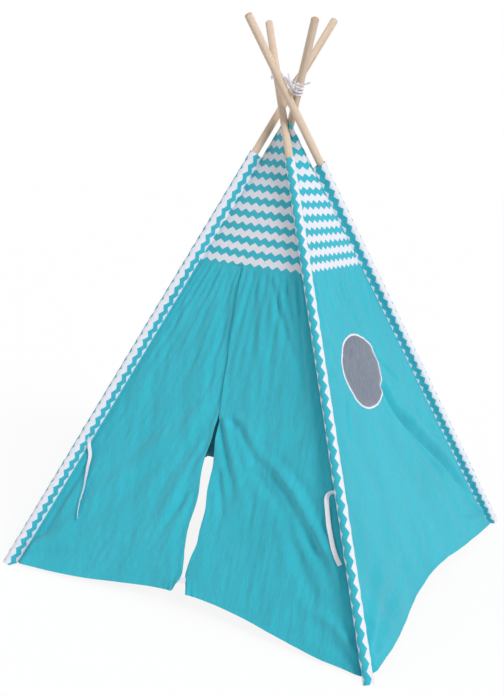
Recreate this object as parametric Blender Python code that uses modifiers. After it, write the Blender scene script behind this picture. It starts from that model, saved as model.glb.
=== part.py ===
# Kids teepee: four sectional wooden poles in fabric sleeves, a four-sided cotton cover with a
# two-flap door and a round mesh window, tied at the crossing with a rope through the poles.
# Metres, +Z up. The origin is on the floor, midway between the four feet, and the door faces -Y.
import math

import bmesh
import bpy
from mathutils import Matrix, Vector

# Driving sizes
FOOT_HALF_SPACING = 0.58      # half the distance between two neighbouring pole feet
CROSSING_HEIGHT = 1.326       # height at which the poles pass each other
POLE_ABOVE_CROSSING = 0.2677  # height that the poles would reach above the crossing
POLE_DIAMETER = 0.020
GAP = 0.0003                  # between pieces that touch
CUT_OVERRUN = 0.010           # how far a cutter runs past what it cuts
MERGE = 0.00005               # points closer than this are one point

# Poles
END_ROUNDING = 0.0025         # rounding on each end of a section
FERRULE_LENGTH = 0.080
FERRULE_WALL = 0.0012
ROPE_HOLE_DIAMETER = 0.007
ROPE_ABOVE_CROSSING = 0.1142  # height of the rope holes above the crossing

# Fabric
CLOTH = 0.0020                # thickness that stands for the canvas
SEAM_OFFSET = 0.025           # from a pole's axis in to the corner seam of the cover
SLEEVE_SLACK = 0.0008         # between a ferrule and the sleeve round it
SLEEVE_WALL = 0.0012
SLEEVE_BELOW_COVER_TOP = 0.0294
SLEEVE_SOLE = 0.0015          # fabric under a pole's end
SEAM_TAIL_HALF = 0.0012       # half the thickness of the sleeve where it is sewn on
COVER_BELOW_CROSSING = 0.100  # from the crossing down to the cover's open top
BAND_DEPTH = 0.314            # chevron band, from the cover's top down to its lower border
HEM_FLOOR_GAP = 0.004         # hem above the floor beside a foot
HEM_LIFT = 0.058              # how much higher the hem is in the middle of a side

# Door
FLAP_TOP_WIDTH = 0.012        # flap at the top of the slit
CREASE_GAP = 0.0012           # between a flap and the cloth that it folds back from
CREASE_RISE = 0.0045          # fold line in front of the cloth's middle
SLIT_GAP = 0.0004             # between the two flaps above their gap
TAB_HEIGHT = 0.014
TAB_THICKNESS = 0.0012

# Window
WINDOW_RADIUS = 0.112         # outside of the binding
WINDOW_BELOW_BAND = 0.172     # from the chevron band down to the window's upper edge
BINDING_WIDTH = 0.009
BINDING_THICKNESS = 0.0042
NETTING = 0.0008

# Ribbons and rope
RIBBON_WIDTH = 0.012
RIBBON_THICKNESS = 0.0010
RIBBON_TOP = 0.384            # height of the end that is sewn to the sleeve
RIBBON_DROP = 0.222           # height of the lower end below that
ROPE_DIAMETER = 0.0055
ROPE_LEAD = 0.010             # straight rope on each side of a pole
KNOT_STANDOFF = 0.011         # knot in front of the pole that it lies on
TAIL_LENGTH = 0.038

# Places, as shares of the sizes that they follow
CORNERS = {
    "front_left": (-1, -1),
    "front_right": (1, -1),
    "back_right": (1, 1),
    "back_left": (-1, 1),
}
# Where each pole's axis is at the crossing height, in pole diameters from the middle.
CROSSING_SHARES = {
    "front_left": (-3.46, 0.55),
    "front_right": (-0.77, -1.84),
    "back_right": (2.10, -2.55),
    "back_left": (0.30, -1.42),
}
# Slit edges: (share of the band's height, share of the half spacing to the right).
LEFT_EDGE_SHARES = [(0.0, -0.048), (0.065, -0.044), (0.11, -0.012), (0.25, -0.040), (0.57, -0.040), (1.0, -0.114)]
RIGHT_EDGE_SHARES = [(0.0, 0.036), (0.065, 0.030), (0.11, 0.003), (0.25, 0.028), (0.57, -0.040), (1.0, -0.114)]
CREASE_FOOT_SHARE = 0.52      # where a flap's fold line meets the hem, of the half spacing
WINDOW_SIDE_SHARE = -0.06     # window's middle beside the panel's middle, of the half spacing
TAB_SHARE = 0.11              # height of the tab's middle, of the band's height
# Ribbons: (share of the drop, share of the half spacing from the corner seam towards the door).
LEFT_RIBBON_SHARES = [(0.0, 0.022), (0.2, 0.050), (0.5, 0.095), (1.0, 0.190)]
RIGHT_RIBBON_SHARES = [(0.0, 0.022), (0.2, 0.062), (0.5, 0.064), (1.0, 0.040)]
# Ends of the rope beside the last pole: (up along the pole, across it) in tail lengths.
FIRST_TAIL_SHARES = (0.55, -0.75)
SECOND_TAIL_SHARES = [(0.15, 0.6), (0.45, 0.9)]
SECTIONS = ("lower", "middle", "upper")
ROPE_ORDER = ("back_right", "front_right", "front_left", "back_left")

COVER_TOP = CROSSING_HEIGHT - COVER_BELOW_CROSSING
BAND_BOTTOM = COVER_TOP - BAND_DEPTH
WINDOW_HEIGHT = BAND_BOTTOM - WINDOW_BELOW_BAND - WINDOW_RADIUS
# How much longer a pole is than the height that it reaches.
POLE_LEAN = math.hypot(CROSSING_HEIGHT, FOOT_HALF_SPACING * math.sqrt(2)) / CROSSING_HEIGHT
POLE_LENGTH = (CROSSING_HEIGHT + POLE_ABOVE_CROSSING) * POLE_LEAN
SLEEVE_LENGTH = (COVER_TOP - SLEEVE_BELOW_COVER_TOP) * POLE_LEAN
ROPE_HOLE_AT = (CROSSING_HEIGHT + ROPE_ABOVE_CROSSING) * POLE_LEAN

ROUND_SIDES = 24
DRILL_SIDES = 16
WINDOW_SIDES = 64
PANEL_COLUMNS = 18
PANEL_ROWS = 6
TOP_COLUMNS = 6
TOP_ROWS = 9
FLAP_COLUMNS = 6
FLAP_ROWS = 14
RIBBON_ROWS = 12

WOOD = (0.74, 0.55, 0.38, 1.0)
STEEL = (0.62, 0.63, 0.65, 1.0)
TEAL = (0.04, 0.46, 0.58, 1.0)
CHEVRON = (0.35, 0.66, 0.75, 1.0)
WHITE = (0.83, 0.80, 0.86, 1.0)
NET_GREY = (0.25, 0.29, 0.38, 1.0)


def clear_scene():
    for old in list(bpy.data.objects):
        bpy.data.objects.remove(old, do_unlink=True)
    for old in list(bpy.data.collections):
        bpy.data.collections.remove(old)


def new_collection(name):
    made = bpy.data.collections.new(name)
    bpy.context.scene.collection.children.link(made)
    return made


def material(name, colour, roughness, metallic=0.0):
    made = bpy.data.materials.new(name)
    made.use_nodes = True
    shader = made.node_tree.nodes["Principled BSDF"]
    shader.inputs["Base Color"].default_value = colour
    shader.inputs["Roughness"].default_value = roughness
    shader.inputs["Metallic"].default_value = metallic
    return made


def lerp(a, b, t):
    return a + (b - a) * t


def read_table(table, at):
    """Straight-line reading of a table of (place, value) pairs."""
    for (x0, y0), (x1, y1) in zip(table, table[1:]):
        if at <= x1:
            return lerp(y0, y1, max(0.0, (at - x0) / (x1 - x0)))
    return table[-1][1]


class Pole:
    """The axis of one pole, and the corner seam of the cover that runs inside it."""

    def __init__(self, name):
        self.name = name
        sx, sy = CORNERS[name]
        px, py = CROSSING_SHARES[name]
        self.foot = Vector((sx * FOOT_HALF_SPACING, sy * FOOT_HALF_SPACING, 0.0))
        self.crossing = Vector((px * POLE_DIAMETER, py * POLE_DIAMETER, CROSSING_HEIGHT))
        self.along = (self.crossing - self.foot).normalized()
        to_middle = Vector((-sx, -sy, 0.0)).normalized()
        self.inward = (to_middle - self.along * to_middle.dot(self.along)).normalized()
        self.side = self.along.cross(self.inward)
        lean = math.sqrt(1.0 - self.along.z ** 2)
        self.bore_start = (SLEEVE_SOLE + SLEEVE_BORE_RADIUS * lean) / self.along.z
        self.start = self.bore_start + GAP
        self.top = self.start + POLE_LENGTH

    def point(self, distance):
        return self.foot + self.along * distance

    def turn(self):
        """Rotation that takes X to the inward way, Y to the side and Z along the pole."""
        return Matrix((self.inward, self.side, self.along)).transposed().to_4x4()

    def seam(self, height):
        """The corner seam's point at a height above the floor."""
        start = self.foot + self.inward * SEAM_OFFSET
        return start + self.along * ((height - start.z) / self.along.z)


SLEEVE_BORE_RADIUS = POLE_DIAMETER / 2 + GAP + FERRULE_WALL + SLEEVE_SLACK
POLES = {name: Pole(name) for name in CORNERS}


def touch_angle(radius, reach, tail_half):
    """Where the straight flank of a loop of cloth leaves its round part, from the seam's way."""
    return math.atan2(tail_half, reach) + math.acos(radius / math.hypot(reach, tail_half))


def corner_inset(name, neighbour, other, height):
    """From a corner seam to the edge of the panel that runs to the neighbour, level, clear of
    the sleeve's tail and of the panel that runs to the other pole."""
    pole = POLES[name]
    here = pole.seam(height)
    level = [POLES[far].seam(height) - here for far in (neighbour, other)]
    square = [way - pole.along * way.dot(pole.along) for way in level]
    lean = square[0].angle(pole.inward)
    flank = 1.0 / math.tan(touch_angle(SLEEVE_BORE_RADIUS + SLEEVE_WALL, SEAM_OFFSET, SEAM_TAIL_HALF))
    past_tail = ((SEAM_TAIL_HALF + GAP + CLOTH / 2 * (flank * math.sin(lean) - math.cos(lean)))
                 / (math.sin(lean) + flank * math.cos(lean)))
    past_panel = (CLOTH / 2 + GAP) / math.tan(square[0].angle(square[1]) / 2)
    return max(past_tail, past_panel) * level[0].length / square[0].length


def finish(obj, paint, pivot=None, smooth=True):
    """Puts an object in the teepee's collection with its material, under its joint's empty."""
    for home in list(obj.users_collection):
        home.objects.unlink(obj)
    parts.objects.link(obj)
    obj.data.materials.clear()
    obj.data.materials.append(paint)
    if smooth:
        obj.data.shade_smooth()
        obj.data.set_sharp_from_angle(angle=math.radians(30))
    if pivot is not None:
        obj.parent = pivot
        obj.matrix_parent_inverse = pivot.matrix_world.inverted()
    return obj


def pivot_at(name, place):
    """An empty on the axis of a joint, which carries the pieces that the joint moves."""
    empty = bpy.data.objects.new(name, None)
    empty.location = place
    parts.objects.link(empty)
    bpy.context.view_layer.update()
    return empty


def cylinder(name, radius, start, end, sides=ROUND_SIDES):
    axis = end - start
    bpy.ops.mesh.primitive_cylinder_add(
        vertices=sides, radius=radius, depth=axis.length, location=(start + end) / 2,
        rotation=axis.to_track_quat("Z", "Y").to_euler())
    obj = bpy.context.object
    obj.name = name
    return obj


def as_cutter(obj):
    for home in list(obj.users_collection):
        home.objects.unlink(obj)
    cutters.objects.link(obj)
    obj.hide_render = True
    obj.display_type = "WIRE"
    return obj


def cut(obj, cutter):
    boolean = obj.modifiers.new("Cut " + cutter.name, "BOOLEAN")
    boolean.operation = "DIFFERENCE"
    boolean.solver = "EXACT"
    boolean.object = cutter


def turned(name, profile, sides=ROUND_SIDES):
    """A ring or tube about Z, from a closed profile of (radius, height) that runs down its outside."""
    mesh = bpy.data.meshes.new(name)
    shape = bmesh.new()
    corners = [shape.verts.new((r, 0.0, z)) for r, z in profile]
    for i, corner in enumerate(corners):
        shape.edges.new((corner, corners[(i + 1) % len(corners)]))
    shape.to_mesh(mesh)
    shape.free()
    obj = bpy.data.objects.new(name, mesh)
    parts.objects.link(obj)
    screw = obj.modifiers.new("Turn", "SCREW")
    screw.axis = "Z"
    screw.angle = 2 * math.pi
    screw.steps = sides
    screw.render_steps = sides
    screw.use_merge_vertices = True
    screw.merge_threshold = MERGE
    return obj


def curve_to_mesh(curve_object):
    """A mesh object in place of a curve object, with its caps joined on."""
    bpy.context.view_layer.update()
    evaluated = curve_object.evaluated_get(bpy.context.evaluated_depsgraph_get())
    mesh = bpy.data.meshes.new_from_object(evaluated)
    shape = bmesh.new()
    shape.from_mesh(mesh)
    bmesh.ops.remove_doubles(shape, verts=shape.verts, dist=MERGE)
    bmesh.ops.recalc_face_normals(shape, faces=shape.faces)
    shape.to_mesh(mesh)
    shape.free()
    obj = bpy.data.objects.new(curve_object.name, mesh)
    obj.matrix_world = curve_object.matrix_world.copy()
    parts.objects.link(obj)
    name = curve_object.name
    bpy.data.objects.remove(curve_object, do_unlink=True)
    obj.name = name
    return obj


def hole_way(name):
    """Direction of a pole's rope hole: from the pole before it on the rope to the one after."""
    order = ROPE_ORDER
    i = order.index(name)
    before, after = POLES[order[i - 1]], POLES[order[(i + 1) % len(order)]]
    pole = POLES[name]
    way = after.point(ROPE_HOLE_AT) - before.point(ROPE_HOLE_AT)
    return (way - pole.along * way.dot(pole.along)).normalized()


def make_pole(pole, pivot):
    """Three wooden sections, rounded at their ends, the top one drilled for the rope."""
    wood = material(pole.name + "_wood", WOOD, 0.55)
    section = POLE_LENGTH / len(SECTIONS)
    for i, place in enumerate(SECTIONS):
        low = pole.start + section * i + (GAP if i else 0.0)
        high = pole.start + section * (i + 1)
        obj = cylinder(f"{pole.name}_pole_{place}", POLE_DIAMETER / 2, pole.point(low), pole.point(high))
        rounding = obj.modifiers.new("Rounded ends", "BEVEL")
        rounding.width = END_ROUNDING
        rounding.segments = 2
        rounding.limit_method = "ANGLE"
        if place == "upper":
            middle = pole.point(ROPE_HOLE_AT)
            reach = hole_way(pole.name) * (POLE_DIAMETER / 2 + CUT_OVERRUN)
            drill = cylinder(pole.name + "_drill", ROPE_HOLE_DIAMETER / 2,
                             middle - reach, middle + reach, DRILL_SIDES)
            cut(obj, as_cutter(drill))
        finish(obj, wood, pivot)


def make_ferrules(pole, pivot):
    """Metal tubes that join the sections."""
    steel = material(pole.name + "_steel", STEEL, 0.35, 1.0)
    section = POLE_LENGTH / len(SECTIONS)
    inner = POLE_DIAMETER / 2 + GAP
    outer = inner + FERRULE_WALL
    half = FERRULE_LENGTH / 2
    for i, place in enumerate(SECTIONS[:-1]):
        obj = turned(f"{pole.name}_ferrule_{place}",
                     [(outer, half), (outer, -half), (inner, -half), (inner, half)])
        obj.matrix_world = Matrix.Translation(pole.point(pole.start + section * (i + 1))) @ pole.turn()
        finish(obj, steel, pivot)


def drop_outline(radius, reach, tail_half):
    """Outline of a loop of cloth round a pole, which narrows to its seam at X = reach."""
    touch = touch_angle(radius, reach, tail_half)
    count = ROUND_SIDES - 4
    points = [(reach, -tail_half), (reach, tail_half)]
    for i in range(count + 1):
        angle = lerp(touch, 2 * math.pi - touch, i / count)
        points.append((radius * math.cos(angle), radius * math.sin(angle)))
    return points


def make_sleeve(pole, pivot):
    """The fabric tube that holds a pole, closed under its foot and open at the top."""
    run = SLEEVE_LENGTH + 2 * CUT_OVERRUN
    curve = bpy.data.curves.new(pole.name + "_sleeve", "CURVE")
    curve.dimensions = "2D"
    curve.fill_mode = "BOTH"
    curve.extrude = run / 2
    outline = drop_outline(SLEEVE_BORE_RADIUS + SLEEVE_WALL, SEAM_OFFSET, SEAM_TAIL_HALF)
    spline = curve.splines.new("POLY")
    spline.points.add(len(outline) - 1)
    for point, (x, y) in zip(spline.points, outline):
        point.co = (x, y, 0.0, 1.0)
    spline.use_cyclic_u = True
    blank = bpy.data.objects.new(pole.name + "_sleeve", curve)
    parts.objects.link(blank)
    blank.matrix_world = Matrix.Translation(pole.point(SLEEVE_LENGTH - run / 2)) @ pole.turn()
    sleeve = curve_to_mesh(blank)
    bore = cylinder(pole.name + "_sleeve_bore", SLEEVE_BORE_RADIUS,
                    pole.point(pole.bore_start), pole.point(SLEEVE_LENGTH + CUT_OVERRUN))
    cut(sleeve, as_cutter(bore))
    cut(sleeve, floor_cutter)
    finish(sleeve, material(pole.name + "_sleeve_print", CHEVRON, 0.9), pivot)


def make_floor_cutter():
    """Trims what would reach under the floor."""
    half = FOOT_HALF_SPACING + SEAM_OFFSET + CUT_OVERRUN
    depth = 4 * CUT_OVERRUN
    bpy.ops.mesh.primitive_cube_add(size=1, location=(0, 0, -depth / 2), scale=(2 * half, 2 * half, depth))
    obj = bpy.context.object
    obj.name = "floor_cutter"
    bpy.ops.object.transform_apply(location=False, rotation=False, scale=True)
    return as_cutter(obj)


def hem_height(share):
    """The hem is low beside the feet and curves up in the middle of each side."""
    return HEM_FLOOR_GAP + HEM_LIFT * 0.5 * (1.0 - math.cos(2 * math.pi * share))


class Side:
    """One side of the cover, between the corner seams of two poles."""

    def __init__(self, left, right):
        ring = list(CORNERS)
        self.left, self.right = POLES[left], POLES[right]
        self.left_inset = (left, right, ring[ring.index(left) - 1])
        self.right_inset = (right, left, ring[(ring.index(right) + 1) % len(ring)])

    def point(self, share, height, out=0.0):
        place = self.left.seam(height).lerp(self.right.seam(height), share)
        return place + self.outward(share, height) * out if out else place

    def outward(self, share, height):
        across = self.right.seam(height) - self.left.seam(height)
        up = self.left.along.lerp(self.right.along, share)
        return across.cross(up).normalized()

    def left_edge(self, height):
        return self.share_of_width(corner_inset(*self.left_inset, height), height)

    def right_edge(self, height):
        return 1.0 - self.share_of_width(corner_inset(*self.right_inset, height), height)

    def share_of_width(self, length, height):
        return length / (self.right.seam(height) - self.left.seam(height)).length

    def share_at_x(self, x, height):
        low, high = self.left.seam(height).x, self.right.seam(height).x
        return (x - low) / (high - low)


def even_rows(count):
    return [i / count for i in range(count + 1)]


def rows_through(table, low, high):
    """Rows for a sheet from low to high that meet each height of a table, with others between."""
    marks = [(share * BAND_BOTTOM - low) / (high - low) for share, _ in table]
    marks = [0.0] + [mark for mark in marks if 0.2 / FLAP_ROWS < mark < 1.0] + [1.0]
    rows = [0.0]
    for start, end in zip(marks, marks[1:]):
        steps = max(1, round((end - start) * FLAP_ROWS))
        rows += [lerp(start, end, (i + 1) / steps) for i in range(steps)]
    return rows


def make_sheet(name, side, left, right, bottom, top, columns, rows, thickness=CLOTH, out=0.0):
    """A piece of cloth on a side. left and right give its edges' share of the width at a height,
    bottom gives its lower edge's height at a share, and rows are shares of its height."""
    mesh = bpy.data.meshes.new(name)
    shape = bmesh.new()
    bmesh.ops.create_grid(shape, x_segments=columns, y_segments=len(rows) - 1, size=0.5)
    for vert in shape.verts:
        across, up = vert.co.x + 0.5, rows[round((vert.co.y + 0.5) * (len(rows) - 1))]
        height = lerp(bottom(0.5), top, up)
        for _ in range(6):
            share = lerp(left(height), right(height), across)
            height = lerp(bottom(share), top, up)
        vert.co = side.point(share, height, out)
    bmesh.ops.recalc_face_normals(shape, faces=shape.faces)
    shape.faces.ensure_lookup_table()
    if shape.faces[0].normal.dot(side.outward(0.5, top)) < 0:
        bmesh.ops.reverse_faces(shape, faces=shape.faces)
    shape.to_mesh(mesh)
    shape.free()
    obj = bpy.data.objects.new(name, mesh)
    parts.objects.link(obj)
    solid = obj.modifiers.new("Thickness", "SOLIDIFY")
    solid.thickness = thickness
    solid.offset = 0.0
    return obj


def side_panels(name, side):
    """The two panels of a whole side: chevron cloth at the top, sewn to plain cloth below."""
    top = make_sheet(name + "_top_panel", side, side.left_edge, side.right_edge,
                     lambda share: BAND_BOTTOM, COVER_TOP, TOP_COLUMNS, even_rows(TOP_ROWS))
    finish(top, material(name + "_chevron", CHEVRON, 0.9))
    low = make_sheet(name + "_panel", side, side.left_edge, side.right_edge,
                     hem_height, BAND_BOTTOM - GAP, PANEL_COLUMNS, even_rows(PANEL_ROWS))
    return finish(low, material(name + "_teal", TEAL, 0.9))


def slit_x(table, height):
    return read_table(table, height / BAND_BOTTOM) * FOOT_HALF_SPACING


def crease_x(way, height):
    """Fold line of a flap, straight from beside the slit's top to the hem. way is -1 on the left."""
    top = slit_x(LEFT_EDGE_SHARES, BAND_BOTTOM) + way * FLAP_TOP_WIDTH
    return lerp(way * CREASE_FOOT_SHARE * FOOT_HALF_SPACING, top, height / BAND_BOTTOM)


def make_front(front):
    """The front side: a chevron top with two door flaps under it, each beside its standing cloth."""
    teal = material("front_teal", TEAL, 0.9)
    print_cloth = material("front_chevron", CHEVRON, 0.9)
    seam_low = BAND_BOTTOM - GAP
    finish(make_sheet("front_top_panel", front, front.left_edge, front.right_edge,
                      lambda share: BAND_BOTTOM, COVER_TOP, TOP_COLUMNS, even_rows(TOP_ROWS)), print_cloth)
    finish(make_sheet("left_door_side", front, front.left_edge,
                      lambda z: front.share_at_x(crease_x(-1, z) - CREASE_GAP / 2, z),
                      hem_height, seam_low, FLAP_COLUMNS, even_rows(PANEL_ROWS)), teal)
    finish(make_sheet("right_door_side", front, lambda z: front.share_at_x(crease_x(1, z) + CREASE_GAP / 2, z),
                      front.right_edge, hem_height, seam_low, FLAP_COLUMNS, even_rows(PANEL_ROWS)), teal)
    for name, way, table in (("left", -1, LEFT_EDGE_SHARES), ("right", 1, RIGHT_EDGE_SHARES)):
        crease = [front.point(front.share_at_x(crease_x(way, z), z), z, CREASE_RISE)
                  for z in (hem_height(0.5 + way * CREASE_FOOT_SHARE / 2), BAND_BOTTOM)]
        pivot = pivot_at(name + "_door_pivot", crease[0])
        edges = [lambda z, w=way: front.share_at_x(crease_x(w, z) - w * CREASE_GAP / 2, z),
                 lambda z, w=way, t=table: front.share_at_x(slit_x(t, z) + w * SLIT_GAP / 2, z)]
        if way > 0:
            edges.reverse()
        rows = rows_through(table, hem_height(0.5), seam_low)
        flap = make_sheet(name + "_door_flap", front, *edges, hem_height, seam_low - GAP, FLAP_COLUMNS, rows)
        finish(flap, teal, pivot)
        if way > 0:
            make_tab(front, pivot)


def make_tab(front, pivot):
    """The small tab on the right flap's edge that reaches to the left flap where the gap is narrow."""
    low = TAB_SHARE * BAND_BOTTOM - TAB_HEIGHT / 2
    tab = make_sheet(
        "door_tab", front,
        lambda z: front.share_at_x(slit_x(LEFT_EDGE_SHARES, TAB_SHARE * BAND_BOTTOM) + SLIT_GAP, z),
        lambda z: front.share_at_x(slit_x(RIGHT_EDGE_SHARES, TAB_SHARE * BAND_BOTTOM), z),
        lambda share: low, low + TAB_HEIGHT, 2, even_rows(2), TAB_THICKNESS)
    finish(tab, material("tab_white", WHITE, 0.9), pivot)


def make_window(side, panel):
    """A round hole in the right panel, with a bound edge and netting."""
    share = 0.5 + WINDOW_SIDE_SHARE / 2 * FOOT_HALF_SPACING / side.right.foot.y
    middle = side.point(share, WINDOW_HEIGHT)
    out = side.outward(share, WINDOW_HEIGHT)
    reach = out * CUT_OVERRUN * 2
    hole = cylinder("window_cutter", WINDOW_RADIUS + GAP, middle - reach, middle + reach, WINDOW_SIDES)
    cut(panel, as_cutter(hole))
    inner = WINDOW_RADIUS - BINDING_WIDTH
    half = BINDING_THICKNESS / 2
    binding = turned("window_binding",
                     [(WINDOW_RADIUS, half), (WINDOW_RADIUS, -half), (inner, -half), (inner, half)],
                     WINDOW_SIDES)
    binding.matrix_world = Matrix.Translation(middle) @ out.to_track_quat("Z", "Y").to_matrix().to_4x4()
    finish(binding, material("binding_white", WHITE, 0.85))
    net = cylinder("window_netting", inner - GAP,
                   middle - out * NETTING / 2, middle + out * NETTING / 2, WINDOW_SIDES)
    finish(net, material("netting_grey", NET_GREY, 0.8))


def make_ribbon(name, front, way, table, pivot):
    """A ribbon sewn into the seam beside a front pole, which lies down the cloth."""
    bottom = RIBBON_TOP - RIBBON_DROP
    lift = CLOTH / 2 + GAP + RIBBON_THICKNESS / 2

    def middle(height):
        in_from_seam = read_table(table, (RIBBON_TOP - height) / RIBBON_DROP) * FOOT_HALF_SPACING
        share = front.share_of_width(in_from_seam, height)
        return share if way < 0 else 1.0 - share

    def edge(height, step):
        return middle(height) + step * front.share_of_width(RIBBON_WIDTH / 2, height)

    ribbon = make_sheet(name, front, lambda z: edge(z, -1), lambda z: edge(z, 1),
                        lambda share: bottom, RIBBON_TOP, 2, even_rows(RIBBON_ROWS), RIBBON_THICKNESS, lift)
    finish(ribbon, material(name + "_white", WHITE, 0.8), pivot)


def smooth_route(points, spacing):
    """Points about a spacing apart, along a smooth curve through the given ones."""
    ends = [2 * points[0] - points[1]] + points + [2 * points[-1] - points[-2]]
    spans = [(b - a).length for a, b in zip(ends, ends[1:])]
    ways = []
    for i in range(1, len(ends) - 1):
        before, after = spans[i - 1], spans[i]
        ways.append(((ends[i] - ends[i - 1]) * after / before + (ends[i + 1] - ends[i]) * before / after)
                    / (before + after))
    route = []
    for start, end, way_in, way_out in zip(points, points[1:], ways, ways[1:]):
        span = (end - start).length
        steps = max(2, round(span / spacing))
        for i in range(steps):
            t = i / steps
            route.append(start * (2 * t ** 3 - 3 * t ** 2 + 1) + end * (3 * t ** 2 - 2 * t ** 3)
                         + way_in * span * (t ** 3 - 2 * t ** 2 + t) + way_out * span * (t ** 3 - t ** 2))
    return route + [points[-1]]


def make_rope():
    """The rope through the holes of the four poles, with its two tails beside the last one."""
    wall = POLE_DIAMETER / 2
    lead = wall + ROPE_LEAD
    last = POLES[ROPE_ORDER[-1]]
    out = hole_way(last.name)
    across = last.along.cross(out)
    knot = last.point(ROPE_HOLE_AT) + out * (wall + KNOT_STANDOFF)
    up_share, across_share = FIRST_TAIL_SHARES
    points = [knot + (last.along * up_share + across * across_share) * TAIL_LENGTH,
              knot - across * 2 * ROPE_DIAMETER]
    for name in ROPE_ORDER:
        pole = POLES[name]
        middle = pole.point(ROPE_HOLE_AT)
        points += [middle + hole_way(name) * step for step in (-lead, -wall, 0.0, wall, lead)]
    for up_share, across_share in SECOND_TAIL_SHARES:
        points.append(knot + (last.along * up_share + across * across_share) * TAIL_LENGTH)
    route = smooth_route(points, 2 * ROPE_DIAMETER)
    curve = bpy.data.curves.new("lashing_rope", "CURVE")
    curve.dimensions = "3D"
    curve.bevel_depth = ROPE_DIAMETER / 2
    curve.bevel_resolution = 2
    curve.use_fill_caps = True
    spline = curve.splines.new("POLY")
    spline.points.add(len(route) - 1)
    for point, place in zip(spline.points, route):
        point.co = (*place, 1.0)
    rope = bpy.data.objects.new("lashing_rope", curve)
    parts.objects.link(rope)
    curve.materials.append(material("rope_white", WHITE, 0.9))


clear_scene()
parts = new_collection("Kids teepee")
cutters = new_collection("Cutters")
floor_cutter = make_floor_cutter()
pivots = {}
for pole_name, corner_pole in POLES.items():
    pivots[pole_name] = pivot_at(pole_name + "_pivot", corner_pole.crossing)
    make_pole(corner_pole, pivots[pole_name])
    make_ferrules(corner_pole, pivots[pole_name])
    make_sleeve(corner_pole, pivots[pole_name])

front_side = Side("front_left", "front_right")
make_front(front_side)
right_side = Side("front_right", "back_right")
make_window(right_side, side_panels("right", right_side))
side_panels("back", Side("back_right", "back_left"))
side_panels("left", Side("back_left", "front_left"))
make_ribbon("left_tie_ribbon", front_side, -1, LEFT_RIBBON_SHARES, pivots["front_left"])
make_ribbon("right_tie_ribbon", front_side, 1, RIGHT_RIBBON_SHARES, pivots["front_right"])
make_rope()
bpy.context.view_layer.update()
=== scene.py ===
import math

import bmesh
import bpy
import numpy as np
from mathutils import Matrix, Vector


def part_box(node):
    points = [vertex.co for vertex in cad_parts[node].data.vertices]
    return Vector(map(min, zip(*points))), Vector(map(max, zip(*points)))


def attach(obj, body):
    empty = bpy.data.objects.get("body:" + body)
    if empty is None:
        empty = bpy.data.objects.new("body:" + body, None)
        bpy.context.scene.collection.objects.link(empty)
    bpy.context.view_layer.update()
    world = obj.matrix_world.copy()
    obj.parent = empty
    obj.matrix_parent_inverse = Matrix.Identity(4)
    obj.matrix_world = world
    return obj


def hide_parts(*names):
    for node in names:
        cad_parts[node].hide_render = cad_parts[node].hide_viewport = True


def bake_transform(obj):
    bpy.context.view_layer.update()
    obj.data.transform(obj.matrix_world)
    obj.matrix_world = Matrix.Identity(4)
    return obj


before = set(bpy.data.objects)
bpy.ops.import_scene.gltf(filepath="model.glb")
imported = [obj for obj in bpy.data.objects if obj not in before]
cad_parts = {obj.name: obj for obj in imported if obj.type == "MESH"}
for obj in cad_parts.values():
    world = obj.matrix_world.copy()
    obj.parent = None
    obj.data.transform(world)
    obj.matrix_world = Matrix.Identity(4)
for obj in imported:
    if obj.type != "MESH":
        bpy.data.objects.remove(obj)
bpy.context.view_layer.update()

camera = {
    "place": (1.2383, -2.4461, 1.2808),
    "azimuth": 26.85,
    "elevation": 13.336,
    "roll": 3.148,
    "lens": 47.27,
    "sensor": 36.0,
    "shift": (-0.0422, 0.0061),
}


def makeCamera():
    azimuth, elevation, roll = (math.radians(camera[k]) for k in ("azimuth", "elevation", "roll"))
    back = Vector((math.sin(azimuth) * math.cos(elevation), -math.cos(azimuth) * math.cos(elevation),
                   math.sin(elevation)))
    level = Vector((0, 0, 1)).cross(back).normalized()
    upright = back.cross(level)
    right = level * math.cos(roll) + upright * math.sin(roll)
    up = upright * math.cos(roll) - level * math.sin(roll)
    data = bpy.data.cameras.new("photo_view")
    data.lens = camera["lens"]
    data.sensor_width = camera["sensor"]
    data.shift_x, data.shift_y = camera["shift"]
    obj = bpy.data.objects.new("photo_view", data)
    obj.matrix_world = Matrix.Translation(camera["place"]) @ Matrix((right, up, back)).transposed().to_4x4()
    bpy.context.scene.collection.objects.link(obj)
    bpy.context.scene.camera = obj


makeCamera()
print("camera made")

# Kids teepee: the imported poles, with sewn cloth, a rope, ribbons and a netting window round them.
# Places on a side of the cover are (a, h): a metres to the right of the side's middle, h metres
# up the slope of the cloth from the floor.

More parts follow.
